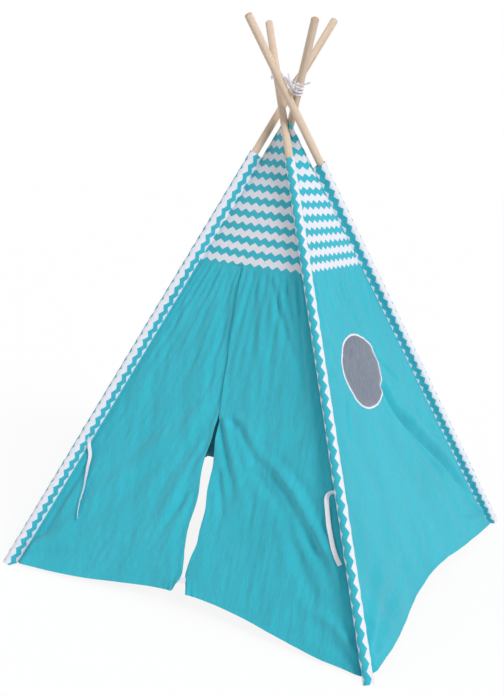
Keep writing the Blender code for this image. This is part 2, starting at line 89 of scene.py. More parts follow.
cornerNames = ["front_left", "front_right", "back_right", "back_left"]
sideRing = {
    "front": ("front_left", "front_right", (1, 0, 0)),
    "right": ("front_right", "back_right", (0, 1, 0)),
    "back": ("back_right", "back_left", (-1, 0, 0)),
    "left": ("back_left", "front_left", (0, -1, 0)),
}
cover = {
    "seamIn": 0.025,          # corner seam, in from the axis of its pole
    "thick": 0.0010,          # cotton
    "spacing": 0.0055,        # of the mesh
    "hemFloorGap": 0.004,
    # height of the hem above its floor gap, and how far it stands out, by share of the side's width
    "hemLine": {
        "front": [(0, 0), (0.09, 0.004), (0.208, 0.014), (0.327, 0.033), (0.425, 0.047), (0.50, 0.053),
                  (0.60, 0.051), (0.70, 0.040), (0.80, 0.022), (0.89, 0.008), (0.965, 0.003), (1, 0)],
        "right": [(0, 0), (0.06, 0.002), (0.219, 0.008), (0.303, 0.016), (0.382, 0.028), (0.497, 0.041),
                  (0.60, 0.038), (0.696, 0.026), (0.829, 0.011), (0.954, 0.002), (1, 0)],
        "back": [(0, 0), (0.12, 0.006), (0.30, 0.026), (0.50, 0.044), (0.70, 0.024), (0.90, 0.005), (1, 0)],
        "left": [(0, 0), (0.10, 0.005), (0.30, 0.024), (0.48, 0.040), (0.70, 0.026), (0.88, 0.007), (1, 0)],
    },
    "hemOut": {
        "front": [(0, 0.026), (0.09, 0.015), (0.208, 0.001), (0.327, 0), (0.425, -0.007), (0.55, -0.004),
                  (0.75, 0.002), (0.89, 0.003), (0.965, 0.006), (1, 0.015)],
        "right": [(0, 0.022), (0.06, 0.024), (0.219, 0.012), (0.303, 0), (0.382, -0.004), (0.497, 0.004),
                  (0.696, 0.014), (0.829, 0.015), (0.954, 0.021), (1, 0.022)],
        "back": [(0, 0.020), (0.10, 0.016), (0.30, 0.002), (0.50, -0.004), (0.70, 0.003), (0.90, 0.015), (1, 0.020)],
        "left": [(0, 0.020), (0.12, 0.015), (0.32, 0.001), (0.55, -0.003), (0.72, 0.004), (0.90, 0.016), (1, 0.020)],
    },
    "sharp": 62,              # edges over this angle stay sharp
    "hem": 0.011,             # width of the folded hem
    "hemStep": 0.0009,        # how much thicker the hem is
    "hemStops": (0.0, 0.18, 0.55, 0.88, 1.0, 1.15),    # rows of points over it, in widths of the hem
    "hemFold": (0.86, 1.04),  # where its step begins and ends, in the same way
    "backRise": 0.014,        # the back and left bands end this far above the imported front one
    "sag": 0.006,             # of a side between its poles
    "sagTop": 1.1,            # height where the sag ends
    "gathersMeet": 1.42,      # height where the upright gathers would meet
    "seamGap": 0.0008,        # from a corner seam to the edge of the cloth
    "seamDip": 0.0030,        # the cloth sinks beside its seams
    "printScale": {"front": 0.97, "right": 1.27, "back": 1.0, "left": 1.0},   # of the zigzag across the side
    "printUp": 0.0042,        # the border's edge above the seam of the band
    # the loose tip's ridge passes between two poles: height above the cover's top, and how far it moves
    "tipRidge": [(0.0, 0.0, 0.0), (0.024, 0.0010, -0.0010), (0.044, 0.0069, -0.0034), (0.064, 0.0189, -0.0076),
                 (0.074, 0.0259, -0.0107), (0.084, 0.0329, -0.0153), (0.096, 0.0398, -0.0232)],
}
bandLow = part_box("front_top_panel")[0].z
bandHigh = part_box("front_top_panel")[1].z
tiny = 1e-6                  # points nearer than this are one


def smooth(start, end, x):
    t = np.clip((x - start) / (end - start), 0.0, 1.0)
    return t * t * (3 - 2 * t)


def lerp(a, b, t):
    return a + (b - a) * t


def readCurve(points, x):
    # a smooth curve through (x, y) points with rising x
    xs, ys = zip(*points)
    slopes = np.gradient(np.array(ys, float), np.array(xs, float))
    x = np.clip(x, xs[0], xs[-1])
    i = np.clip(np.searchsorted(xs, x) - 1, 0, len(xs) - 2)
    x0, x1 = np.take(xs, i), np.take(xs, i + 1)
    y0, y1, m0, m1 = np.take(ys, i), np.take(ys, i + 1), slopes[i], slopes[i + 1]
    w = x1 - x0
    t = (x - x0) / w
    return (y0 * (2 * t ** 3 - 3 * t ** 2 + 1) + y1 * (3 * t ** 2 - 2 * t ** 3)
            + w * m0 * (t ** 3 - 2 * t ** 2 + t) + w * m1 * (t ** 3 - t ** 2))


def poleLine(name):
    # where a pole stands, its way up, its way in towards the middle, and its sideways way
    low = sum(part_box(name + "_pole_lower"), Vector()) / 2
    middle = sum(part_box(name + "_pole_middle"), Vector()) / 2
    along = (middle - low).normalized()
    foot = low - along * (low.z / along.z)
    toMiddle = Vector((-foot.x, -foot.y, 0)).normalized()
    inward = (toMiddle - along * toMiddle.dot(along)).normalized()
    return {"foot": foot, "along": along, "inward": inward, "side": along.cross(inward)}


poles = {name: poleLine(name) for name in cornerNames}
poleRadius = 0.010
wornEnd = 0.0065             # length of the darker wood at its top


def topSection(name):
    # the middle and the length of a pole's upper section
    low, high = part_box(name + "_pole_upper")
    up = poles[name]["along"].z
    return (low + high) / 2, (high.z - low.z - 2 * poleRadius * math.sqrt(1 - up ** 2)) / up


def seamAt(name, z):
    # points of a corner seam at heights z
    pole = poles[name]
    start = np.array(pole["foot"] + pole["inward"] * cover["seamIn"])
    along = np.array(pole["along"])
    z = np.asarray(z, float)
    points = start + along * ((z - start[2]) / along[2])[..., None]
    if name == "front_right":
        for axis in (0, 1):
            points[..., axis] += readCurve([(row[0], row[axis + 1]) for row in cover["tipRidge"]], z - bandHigh)
    return points


def sideData(name):
    left, right, axis = sideRing[name]
    low = (seamAt(left, 0.0) + seamAt(right, 0.0)) / 2
    high = (seamAt(left, bandLow) + seamAt(right, bandLow)) / 2
    up = (high - low) / np.linalg.norm(high - low)
    return {"name": name, "left": left, "right": right, "axis": np.array(axis, float), "slope": up[2]}


sides = {name: sideData(name) for name in sideRing}


def onSide(side, s, z):
    # points on the plain side, its outward way, and the places (a, h)
    left, right = seamAt(side["left"], z), seamAt(side["right"], z)
    points = left + (right - left) * s[..., None]
    alongLeft, alongRight = (np.array(poles[side[k]]["along"]) for k in ("left", "right"))
    out = np.cross(right - left, alongLeft + (alongRight - alongLeft) * s[..., None])
    out /= np.linalg.norm(out, axis=-1, keepdims=True)
    return points, out, points @ side["axis"], z / side["slope"]


def shareOf(side, a, z):
    # the share of the side's width at a place
    left, right = seamAt(side["left"], z) @ side["axis"], seamAt(side["right"], z) @ side["axis"]
    return (a - left) / (right - left)


def widthOf(side, z):
    return np.linalg.norm(seamAt(side["right"], z) - seamAt(side["left"], z), axis=-1)


def finer(points, steps=6):
    # a smooth line through the points, with steps from one to the next
    points = [np.array(p, float) for p in points]
    ends = [2 * points[0] - points[1]] + points + [2 * points[-1] - points[-2]]
    out = []
    for i in range(1, len(ends) - 2):
        p0, p1, p2, p3 = ends[i - 1:i + 3]
        for k in range(steps):
            t = k / steps
            out.append(0.5 * (2 * p1 + (p2 - p0) * t + (2 * p0 - 5 * p1 + 4 * p2 - p3) * t ** 2
                              + (3 * p1 - p0 - 3 * p2 + p3) * t ** 3))
    return out + [points[-1]]


def lengthAlong(line):
    # metres from the start of a line to each of its points
    return np.concatenate([[0], np.cumsum(np.linalg.norm(np.diff(line, axis=0), axis=-1))])


fold = {
    "strength": 2.2,         # of all heights in the lists of folds
    "grow": 0.12,            # share of its line over which a fold rises
    "fade": 0.45,            # and over which it dies away
    "hollow": 0.4,           # depth beside it, as a share of its height
    "hollowAt": 1.7,         # in widths of the fold
}


def ridge(a, h, points, width, height, widening):
    # a fold along a line: a rounded ridge with a hollow on one side, and half of one on the other
    line = finer(points)
    best = np.full(a.shape, 1e9)
    signed, progress = np.zeros(a.shape), np.zeros(a.shape)
    for k, (p, q) in enumerate(zip(line, line[1:])):
        d = q - p
        t = np.clip(((a - p[0]) * d[0] + (h - p[1]) * d[1]) / (d @ d), 0, 1)
        da, dh = a - p[0] - t * d[0], h - p[1] - t * d[1]
        away = np.hypot(da, dh)
        closer = away < best
        best = np.where(closer, away, best)
        signed = np.where(closer, np.sign(d[0] * dh - d[1] * da) * away, signed)
        progress = np.where(closer, (k + t) / (len(line) - 1), progress)
    x = signed / (width * (1 + (widening - 1) * progress))
    fade = smooth(0, fold["grow"], progress) * smooth(0, fold["fade"], 1 - progress)
    hollow, at = fold["hollow"], fold["hollowAt"]
    return height * fade * (np.exp(-x * x) - hollow * np.exp(-(x - at) ** 2) - hollow * 0.5 * np.exp(-(x + at) ** 2))


def ripple(a, h, across, along, angle, seed, count=9):
    # soft waves with crests that run at an angle from upright, across and along metres apart
    random = np.random.RandomState(seed)
    total = np.zeros(np.shape(a))
    c, s = math.cos(math.radians(angle)), math.sin(math.radians(angle))
    x, y = a * c + h * s, -a * s + h * c
    for _ in range(count):
        kx = 2 * math.pi / across * random.uniform(0.6, 1.5)
        ky = 2 * math.pi / along * random.uniform(-1.2, 1.2)
        total += np.sin(kx * x + ky * y + random.uniform(0, 2 * math.pi))
    return total / math.sqrt(count)


window = {
    "middle": (sum(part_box("window_binding"), Vector()).y / 2,
               sum(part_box("window_binding"), Vector()).z / 2 / sides["right"]["slope"]),
    "radius": 0.112,            # outside of the tape
    # where the outline isn't round: angle from level, share of the radius, width of the place in degrees
    "uneven": [(29, 0.042, 14), (303, 0.052, 12), (286, 0.022, 10), (206, -0.045, 10), (190, -0.034, 10),
               (142, -0.026, 13), (90, 0.008, 20), (242, 0.010, 14)],
    "tape": (0.0064, 0.0012),   # its width, and how much narrower it gets on the far side
    "tapeThick": 0.0027,
    "tapeSquare": (0.55, 0.75),    # 1 gives the tape a round section, less a squarer one
    "underTape": 0.0036,        # the cloth goes on under the tape
    "around": 200,
    "section": 14,
    "mesh": 0.0033,             # from one thread of the netting to the next
    "thread": 0.00085,
    "netEdge": 0.0030,          # the netting ends under the tape
    "netReach": 1.3,            # radii that its threads are laid out for, before they are cut
    # the cloth round the window is flat: how far in, its tilt, how nearly flat, and up to which radius
    "flatIn": 0.0045,
    "flatTilt": 0.0035,
    "flatShare": 0.88,
    "flatRadius": 0.128,
}


def windowEdge(angle):
    # radius of the window's outline, seen from its middle
    degrees = np.degrees(angle)
    radius = np.ones(np.shape(angle))
    for place, share, wide in window["uneven"]:
        away = (degrees - place + 180) % 360 - 180
        radius = radius + share * np.exp(-(away / wide) ** 2)
    return radius * window["radius"]


def fromWindow(a, h):
    da, dh = a - window["middle"][0], h - window["middle"][1]
    return da, dh, np.hypot(da, dh), windowEdge(np.arctan2(dh, da))


frontFolds = [
    # points, width, height, widening
    ([(-0.545, 0.058), (-0.488, 0.129), (-0.457, 0.228), (-0.414, 0.337), (-0.382, 0.411)], 0.011, -0.0040, 1.6),
    ([(-0.556, 0.055), (-0.507, 0.094), (-0.470, 0.121), (-0.442, 0.152), (-0.380, 0.235)], 0.010, -0.0034, 1.8),
    ([(-0.563, 0.020), (-0.489, 0.042), (-0.397, 0.062), (-0.300, 0.080)], 0.012, -0.0030, 2.0),
    ([(-0.023, 0.530), (-0.049, 0.421), (-0.069, 0.317), (-0.093, 0.218), (-0.120, 0.120)], 0.010, -0.0030, 1.5),
    ([(-0.030, 0.460), (-0.060, 0.370), (-0.110, 0.270), (-0.150, 0.170)], 0.012, 0.0026, 1.5),
    ([(-0.045, 0.520), (-0.085, 0.440), (-0.130, 0.350), (-0.190, 0.230)], 0.014, -0.0024, 1.5),
    ([(-0.056, 0.549), (-0.147, 0.458), (-0.253, 0.348), (-0.362, 0.236), (-0.470, 0.120)], 0.022, 0.0030, 1.4),
    ([(-0.070, 0.600), (-0.160, 0.520), (-0.250, 0.430), (-0.330, 0.340)], 0.016, -0.0018, 1.4),
    ([(-0.086, 0.980), (-0.077, 0.824), (-0.074, 0.647), (-0.070, 0.575)], 0.008, -0.0014, 1.3),
    ([(-0.145, 0.985), (-0.147, 0.845), (-0.148, 0.694), (-0.152, 0.589)], 0.010, -0.0014, 1.5),
    ([(-0.110, 0.985), (-0.112, 0.845), (-0.116, 0.720)], 0.008, 0.0014, 1.5),
    ([(-0.010, 0.551), (0.000, 0.525), (0.043, 0.443), (0.084, 0.373), (0.122, 0.291)], 0.008, -0.0036, 2.4),
    ([(0.000, 0.560), (0.030, 0.500), (0.060, 0.440), (0.110, 0.350), (0.150, 0.270)], 0.010, 0.0030, 2.0),
    ([(0.021, 0.543), (0.058, 0.533), (0.110, 0.473), (0.146, 0.434), (0.201, 0.364)], 0.010, -0.0034, 2.0),
    ([(0.020, 0.420), (0.045, 0.350), (0.062, 0.270), (0.074, 0.180)], 0.009, -0.0028, 1.8),
    ([(0.030, 0.360), (0.055, 0.290), (0.090, 0.200)], 0.010, 0.0022, 1.8),
    ([(0.110, 0.473), (0.234, 0.398), (0.298, 0.325), (0.362, 0.265), (0.404, 0.226), (0.470, 0.130)],
     0.014, -0.0036, 1.2),
    ([(0.086, 0.449), (0.232, 0.363), (0.313, 0.242), (0.379, 0.153), (0.432, 0.085)], 0.016, -0.0034, 1.3),
    ([(0.170, 0.470), (0.270, 0.400), (0.340, 0.330), (0.420, 0.240), (0.500, 0.110)], 0.014, 0.0036, 1.1),
    ([(0.088, 0.980), (0.134, 0.876), (0.178, 0.800), (0.215, 0.720)], 0.010, -0.0028, 1.5),
    ([(0.040, 0.980), (0.097, 0.878), (0.158, 0.786), (0.199, 0.722), (0.250, 0.620)], 0.010, -0.0024, 1.6),
    ([(0.010, 0.980), (0.040, 0.860), (0.070, 0.740), (0.110, 0.620)], 0.010, 0.0018, 1.6),
    ([(0.530, 0.060), (0.440, 0.110), (0.330, 0.130)], 0.012, 0.0034, 1.8),
    ([(0.540, 0.035), (0.470, 0.050), (0.380, 0.055)], 0.010, -0.0034, 1.8),
]
rightFolds = [
    ([(0.052, 0.640), (0.075, 0.600), (0.108, 0.528), (0.177, 0.453), (0.249, 0.380), (0.332, 0.300), (0.424, 0.190),
      (0.503, 0.092), (0.550, 0.030)], 0.014, -0.0088, 1.1),
    ([(0.160, 0.466), (0.196, 0.380), (0.281, 0.281), (0.370, 0.190)], 0.014, -0.0030, 1.2),
    ([(0.130, 0.560), (0.210, 0.480), (0.300, 0.390), (0.400, 0.280), (0.500, 0.140)], 0.018, 0.0044, 0.8),
    ([(0.554, 0.020), (0.460, 0.070), (0.356, 0.104), (0.220, 0.150)], 0.009, -0.0036, 2.4),
    ([(0.556, 0.012), (0.490, 0.024), (0.424, 0.030), (0.300, 0.045)], 0.008, -0.0034, 2.4),
    ([(0.552, 0.030), (0.500, 0.075), (0.430, 0.150), (0.340, 0.215)], 0.008, 0.0034, 2.2),
    ([(0.552, 0.040), (0.515, 0.110), (0.470, 0.200), (0.425, 0.300)], 0.007, -0.0030, 2.0),
    ([(-0.525, 0.030), (-0.440, 0.062), (-0.359, 0.084), (-0.199, 0.121), (-0.054, 0.153)], 0.014, -0.0040, 2.2),
    ([(-0.525, 0.050), (-0.430, 0.110), (-0.330, 0.160), (-0.190, 0.220)], 0.013, 0.0032, 2.0),
    ([(-0.535, 0.018), (-0.480, 0.016), (-0.411, 0.014)], 0.007, -0.0034, 1.5),
    ([(0.068, 0.740), (0.098, 0.690), (0.151, 0.636), (0.200, 0.580)], 0.008, -0.0028, 1.3),
    ([(0.060, 0.770), (0.110, 0.730), (0.160, 0.690)], 0.008, 0.0022, 1.3),
    ([(-0.210, 0.810), (-0.177, 0.794), (-0.140, 0.758)], 0.007, -0.0022, 1.2),
    ([(-0.230, 0.712), (-0.190, 0.712), (-0.156, 0.715)], 0.007, -0.0022, 1.2),
    ([(-0.150, 0.640), (-0.190, 0.602), (-0.216, 0.550), (-0.250, 0.480)], 0.008, -0.0024, 1.6),
    ([(0.156, 0.984), (0.150, 0.900), (0.142, 0.855), (0.124, 0.782)], 0.009, -0.0022, 1.4),
    ([(-0.125, 0.975), (-0.150, 0.880), (-0.170, 0.800)], 0.010, 0.0018, 1.4),
]
backFolds = [
    ([(-0.545, 0.050), (-0.450, 0.140), (-0.330, 0.260), (-0.200, 0.400)], 0.012, -0.0042, 1.8),
    ([(-0.550, 0.030), (-0.430, 0.070), (-0.300, 0.095)], 0.011, -0.0034, 2.0),
    ([(0.545, 0.055), (0.440, 0.160), (0.340, 0.290), (0.240, 0.450)], 0.012, -0.0042, 1.8),
    ([(0.552, 0.028), (0.440, 0.060), (0.310, 0.090)], 0.011, 0.0034, 2.0),
    ([(-0.120, 0.980), (-0.150, 0.800), (-0.210, 0.620)], 0.012, -0.0022, 1.6),
    ([(0.090, 0.980), (0.110, 0.830), (0.160, 0.640), (0.230, 0.480)], 0.012, 0.0024, 1.6),
    ([(0.020, 0.980), (0.030, 0.800), (0.020, 0.600)], 0.012, -0.0020, 1.6),
    ([(-0.300, 0.420), (-0.160, 0.330), (0.020, 0.260), (0.200, 0.230)], 0.022, 0.0034, 1.2),
]
leftFolds = [
    ([(-0.548, 0.045), (-0.470, 0.120), (-0.400, 0.230), (-0.330, 0.360)], 0.012, -0.0040, 1.8),
    ([(0.548, 0.050), (0.450, 0.130), (0.330, 0.220), (0.180, 0.330)], 0.012, -0.0044, 1.8),
    ([(0.555, 0.025), (0.440, 0.052), (0.320, 0.075)], 0.011, 0.0034, 2.0),
    ([(-0.553, 0.025), (-0.450, 0.056), (-0.340, 0.085)], 0.011, -0.0030, 2.0),
    ([(0.130, 0.980), (0.160, 0.820), (0.220, 0.640), (0.300, 0.470)], 0.012, -0.0026, 1.6),
    ([(-0.060, 0.980), (-0.080, 0.820), (-0.130, 0.640)], 0.012, 0.0022, 1.6),
    ([(0.260, 0.460), (0.100, 0.370), (-0.080, 0.330), (-0.250, 0.330)], 0.024, 0.0032, 1.2),
]
sideFolds = {"front": frontFolds, "right": rightFolds, "back": backFolds, "left": leftFolds}
foldShift = {"right": 0.0145}     # the folds lean by this much for each metre up
clothWaves = {
    # seed, height of the gathers under the band and of the slack, lean in degrees and height of the crinkles
    "front": (11, 0.0021, 0.0018, -17, 0.00050),
    "right": (23, 0.0008, 0.0012, -8, 0.00022),
    "back": (37, 0.0012, 0.0015, -6, 0.00040),
    "left": (53, 0.0012, 0.0015, 8, 0.00040),
}
waveShapes = {
    # metres from crest to crest and along a crest, and the lean of the crests in degrees
    "gathers": (0.085, 1.6, 0),
    "slack": (0.13, 0.55, 14),
    "crossing": (0.10, 0.42, -32),
    "small": (0.040, 0.20, 6),
    "leftCrinkles": (0.024, 0.16),
    "rightCrinkles": (0.026, 0.19, 2),
}


def foldHeight(side, s, z, a, h):
    # how far the cloth stands out from its plain side
    name, bandUp = side["name"], bandLow / side["slope"]
    seed, gathers, slack, lean, fine = clothWaves[name]
    width = widthOf(side, z)
    edge = np.minimum(s * width, (1 - s) * width)
    free = smooth(0.0, 0.035, edge)
    fall = 1.0 - smooth(0.50, 0.97, h / bandUp)
    under = smooth(-0.004, 0.03, bandUp - h)
    total = np.zeros(a.shape)
    for line in sideFolds[name]:
        total += fold["strength"] * ridge(a + foldShift.get(name, 0) * h, h, *line)
    fan = a * cover["gathersMeet"] / np.maximum(cover["gathersMeet"] - h, 0.1)
    high = smooth(0.45, 0.95, h) * under
    total += gathers * high * ripple(fan, h, *waveShapes["gathers"], seed)
    total += slack * under * ripple(a, h, *waveShapes["slack"], seed + 1)
    total += slack * 0.8 * fall * ripple(a, h, *waveShapes["crossing"], seed + 2)
    total += 0.4 * slack * ripple(a, h, *waveShapes["small"], seed + 3)
    leftCrinkles = ripple(a, h, *waveShapes["leftCrinkles"], lean, seed + 4, 14)
    rightCrinkles = ripple(a, h, *waveShapes["rightCrinkles"], seed + 5, 14)
    total += fine * under * lerp(leftCrinkles, rightCrinkles, smooth(-0.05, 0.10, a))
    calm = 0.45 + 0.55 * smooth(0.0, 0.08, h - readCurve(cover["hemLine"][name], s))     # flatter beside the hem
    total *= free * (0.25 + 0.75 * under) * calm
    total -= cover["sag"] * np.sin(math.pi * np.clip(s, 0, 1)) * np.sin(math.pi * np.clip(h / cover["sagTop"], 0, 1))
    # the hem's way out beside each foot
    total += readCurve(cover["hemOut"][name], s) * smooth(0.0, 0.030, edge) * np.exp(-(h / 0.12) ** 2)
    total -= cover["seamDip"] * np.exp(-((edge - 0.005) / 0.0045) ** 2) * smooth(0.0, 0.004, edge)
    if name == "right":
        da, dh, away, _ = fromWindow(a, h)
        flat = window["flatTilt"] * da / window["radius"] - window["flatIn"]
        total = lerp(total, flat, window["flatShare"] * np.exp(-(away / window["flatRadius"]) ** 6))
    return total


def hemLow(name):
    return lambda s: cover["hemFloorGap"] + readCurve(cover["hemLine"][name], s)


def clearSelection():
    bpy.ops.object.select_all(action="DESELECT")


def selectOnly(obj):
    clearSelection()
    obj.select_set(True)
    bpy.context.view_layer.objects.active = obj


def applyAll(obj):
    selectOnly(obj)
    for modifier in list(obj.modifiers):
        bpy.ops.object.modifier_apply(modifier=modifier.name)


def gridObject(name, points, uv, follow=None, keep=None):
    # a sheet from rows of points, with its own UV map, and at each point how far it follows a pole
    rows, cols = points.shape[:2]
    index = np.arange(rows * cols).reshape(rows, cols)
    keep = np.full((rows - 1, cols - 1), True) if keep is None else keep
    quads = np.stack([index[:-1, :-1], index[:-1, 1:], index[1:, 1:], index[1:, :-1]], axis=-1)[keep]
    mesh = bpy.data.meshes.new(name)
    mesh.from_pydata(points.reshape(-1, 3).tolist(), [], quads.tolist())
    corner = np.stack([uv[:-1, :-1], uv[:-1, 1:], uv[1:, 1:], uv[1:, :-1]], axis=2)[keep]
    mesh.uv_layers.new(name="cut").data.foreach_set("uv", corner.ravel())
    if follow is not None:
        mesh.attributes.new("follow", "FLOAT", "POINT").data.foreach_set("value", follow.ravel().astype(np.float32))
    cleaned = bmesh.new()
    cleaned.from_mesh(mesh)
    bmesh.ops.delete(cleaned, geom=[v for v in cleaned.verts if not v.link_faces], context="VERTS")
    bmesh.ops.remove_doubles(cleaned, verts=cleaned.verts, dist=tiny)
    cleaned.to_mesh(mesh)
    cleaned.free()
    obj = bpy.data.objects.new(name, mesh)
    bpy.context.scene.collection.objects.link(obj)
    return obj


def declareSheet(obj, points, held, keep=None, **more):
    # works out the area between its points, and does nothing more with it
    crossed = np.cross(points[1:, 1:] - points[:-1, :-1], points[1:, :-1] - points[:-1, 1:])
    area = 0.5 * np.linalg.norm(crossed, axis=-1)
    area = area.sum() if keep is None else area[keep].sum()


def thicken(obj, thick, offset=0.0):
    solid = obj.modifiers.new("Cloth", "SOLIDIFY")
    solid.thickness = thick
    solid.offset = offset
    solid.use_even_offset = False
    applyAll(obj)
    obj.data.shade_smooth()
    obj.data.set_sharp_from_angle(angle=math.radians(cover["sharp"]))


def paint(obj, material):
    obj.data.materials.clear()
    obj.data.materials.append(material)


def blendBy(obj, bodyA, bodyB):
    # reads the number kept at each point, clipped from 0 to 1, and bakes the object's place into its mesh
    values = np.zeros(len(obj.data.vertices), np.float32)
    obj.data.attributes["follow"].data.foreach_get("value", values)
    values = np.clip(values, 0, 1)
    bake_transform(obj)


colours = {
    "teal": (0.040, 0.500, 0.620),
    "tealDeep": (0.029, 0.420, 0.520),
    "tealDark": (0.027, 0.320, 0.410),
    "white": (0.745, 0.750, 0.815),
    "whiteDark": (0.690, 0.655, 0.720),
    "tape": (0.820, 0.790, 0.860),
    # the ribbons are the same white cotton tape, painted lighter to make up for the weaker light on the front side
    "ribbon": (0.920, 0.890, 0.950),
    "netting": (0.600, 0.640, 0.760),
    "wood": (0.725, 0.570, 0.440),
    "woodPale": (0.770, 0.630, 0.505),
    "woodDark": (0.560, 0.400, 0.280),
    "woodPores": (0.520, 0.350, 0.220),
    "woodEnd": (0.520, 0.330, 0.200),
    "steel": (0.560, 0.570, 0.590),
    "steelDark": (0.470, 0.480, 0.500),
    "rope": (0.880, 0.860, 0.890),
    "ropeDark": (0.740, 0.710, 0.750),
}


def newMaterial(name, roughness, sheen, specular, metallic=0.0):
    material = bpy.data.materials.new(name)
    material.use_nodes = True
    shader = material.node_tree.nodes["Principled BSDF"]
    shader.inputs["Roughness"].default_value = roughness
    shader.inputs["Metallic"].default_value = metallic
    shader.inputs["Specular IOR Level"].default_value = specular
    shader.inputs["Sheen Weight"].default_value = sheen
    shader.inputs["Sheen Roughness"].default_value = 0.6
    return material, material.node_tree, shader


def addNode(tree, kind, values=None, **settings):
    node = tree.nodes.new(kind)
    for key, value in settings.items():
        setattr(node, key, value)
    for key, value in (values or {}).items():
        if isinstance(value, bpy.types.NodeSocket):
            tree.links.new(value, node.inputs[key])
        else:
            node.inputs[key].default_value = value
    return node


def maths(tree, operation, *values):
    return addNode(tree, "ShaderNodeMath", dict(enumerate(values)), operation=operation).outputs[0]


def mixColour(tree, factor, first, second):
    node = addNode(tree, "ShaderNodeMix", {0: factor}, data_type="RGBA")
    for socket, value in ((node.inputs[6], first), (node.inputs[7], second)):
        if isinstance(value, bpy.types.NodeSocket):
            tree.links.new(value, socket)
        else:
            socket.default_value = (*value, 1.0)
    return node.outputs[2]


def rangeOf(tree, value, low, high, toLow, toHigh):
    return addNode(tree, "ShaderNodeMapRange", {0: value, 1: low, 2: high, 3: toLow, 4: toHigh}).outputs[0]


def noiseOf(tree, vector, scale, stretch=(1, 1, 1), detail=2.0, roughness=0.5):
    mapped = addNode(tree, "ShaderNodeMapping", {"Vector": vector, "Scale": stretch}).outputs[0]
    node = addNode(tree, "ShaderNodeTexNoise",
                   {"Vector": mapped, "Scale": scale, "Detail": detail, "Roughness": roughness})
    return node.outputs["Fac"]


def bumpInto(tree, shader, layers):
    # layers of (height socket, strength, depth in metres), the coarsest first
    normal = None
    for height, strength, depth in layers:
        node = addNode(tree, "ShaderNodeBump", {"Height": height, "Strength": strength, "Distance": depth})
        if normal is not None:
            tree.links.new(normal, node.inputs["Normal"])
        normal = node.outputs[0]
    tree.links.new(normal, shader.inputs["Normal"])


def bandsOf(tree, vector, direction, pitch, distortion, detail=2.0):
    # even ribs across a direction, pitch metres apart
    values = {"Vector": vector, "Scale": math.pi / 10 / pitch, "Distortion": distortion, "Detail": detail}
    return addNode(tree, "ShaderNodeTexWave", values, bands_direction=direction).outputs["Fac"]


def cutMap(tree):
    # the cloth's own UV map, in metres
    return addNode(tree, "ShaderNodeUVMap", uv_map="cut").outputs[0]


def objectPlace(tree):
    return addNode(tree, "ShaderNodeTexCoord").outputs["Object"]


threadPitch = 0.0011
chevron = {
    "pitch": 0.040,        # from one teal stripe to the next
    "whitePart": 0.51,
    "period": 0.0300,      # from one peak to the next
    "tall": 0.0105,        # of a peak
    "soft": 0.014,         # softness of the printed edge, as a part of the pitch
}


def cottonMaterial(name, printed):
    # crinkled cotton: printed all over, or white only above its border's edge
    material, tree, shader = newMaterial(name, 0.92, 0.18, 0.12)
    uv = cutMap(tree)
    split = addNode(tree, "ShaderNodeSeparateXYZ", {0: uv})
    x, y = split.outputs[0], split.outputs[1]
    zig = maths(tree, "PINGPONG", x, chevron["period"] / 2)
    zig = maths(tree, "MULTIPLY_ADD", zig, chevron["tall"] * 2 / chevron["period"], -chevron["tall"] / 2)
    level = maths(tree, "ADD", y, zig)
    half = chevron["whitePart"] / 2
    if printed:
        stripe = maths(tree, "SUBTRACT", maths(tree, "DIVIDE", level, chevron["pitch"]), half)
        share = maths(tree, "PINGPONG", stripe, 0.5)
        white = rangeOf(tree, share, half - chevron["soft"], half + chevron["soft"], 1.0, 0.0)
    else:
        edge = chevron["soft"] * chevron["pitch"]
        white = rangeOf(tree, level, -edge, edge, 0.0, 1.0)
    cloudy = noiseOf(tree, uv, 6.0, (1.0, 0.6, 1.0), 4.0)
    crepe = noiseOf(tree, uv, 1.0, (190.0, 34.0, 1.0), 4.0, 0.62)
    slub = noiseOf(tree, uv, 1.0, (30.0, 420.0, 1.0))
    base = mixColour(tree, rangeOf(tree, cloudy, 0.3, 0.7, 0.15, 0.85), colours["teal"], colours["tealDeep"])
    tone = mixColour(tree, rangeOf(tree, crepe, 0.35, 0.75, 0.0, 0.42), base, colours["tealDark"])
    pale = mixColour(tree, rangeOf(tree, crepe, 0.35, 0.75, 0.0, 0.35), colours["white"], colours["whiteDark"])
    tree.links.new(mixColour(tree, white, tone, pale), shader.inputs["Base Color"])
    # the over and under of a plain weave
    weave = maths(tree, "MULTIPLY", *(bandsOf(tree, uv, way, threadPitch, 0.6, 1.0) for way in ("X", "Y")))
    bumpInto(tree, shader, [(crepe, 0.85, 0.0026), (slub, 0.30, 0.0005), (weave, 0.35, 0.00025)])
    return material


def tapeMaterial(name, colour, rib=0.0012):
    material, tree, shader = newMaterial(name, 0.85, 0.1, 0.2)
    uv = cutMap(tree)
    ribs = bandsOf(tree, uv, "Y", rib, 0.4)
    soft = noiseOf(tree, uv, 260.0)
    tone = mixColour(tree, rangeOf(tree, soft, 0.3, 0.7, 0.0, 0.5), colour, tuple(c * 0.88 for c in colour))
    tree.links.new(tone, shader.inputs["Base Color"])
    bumpInto(tree, shader, [(soft, 0.3, 0.0004), (ribs, 0.4, 0.0003)])
    return material


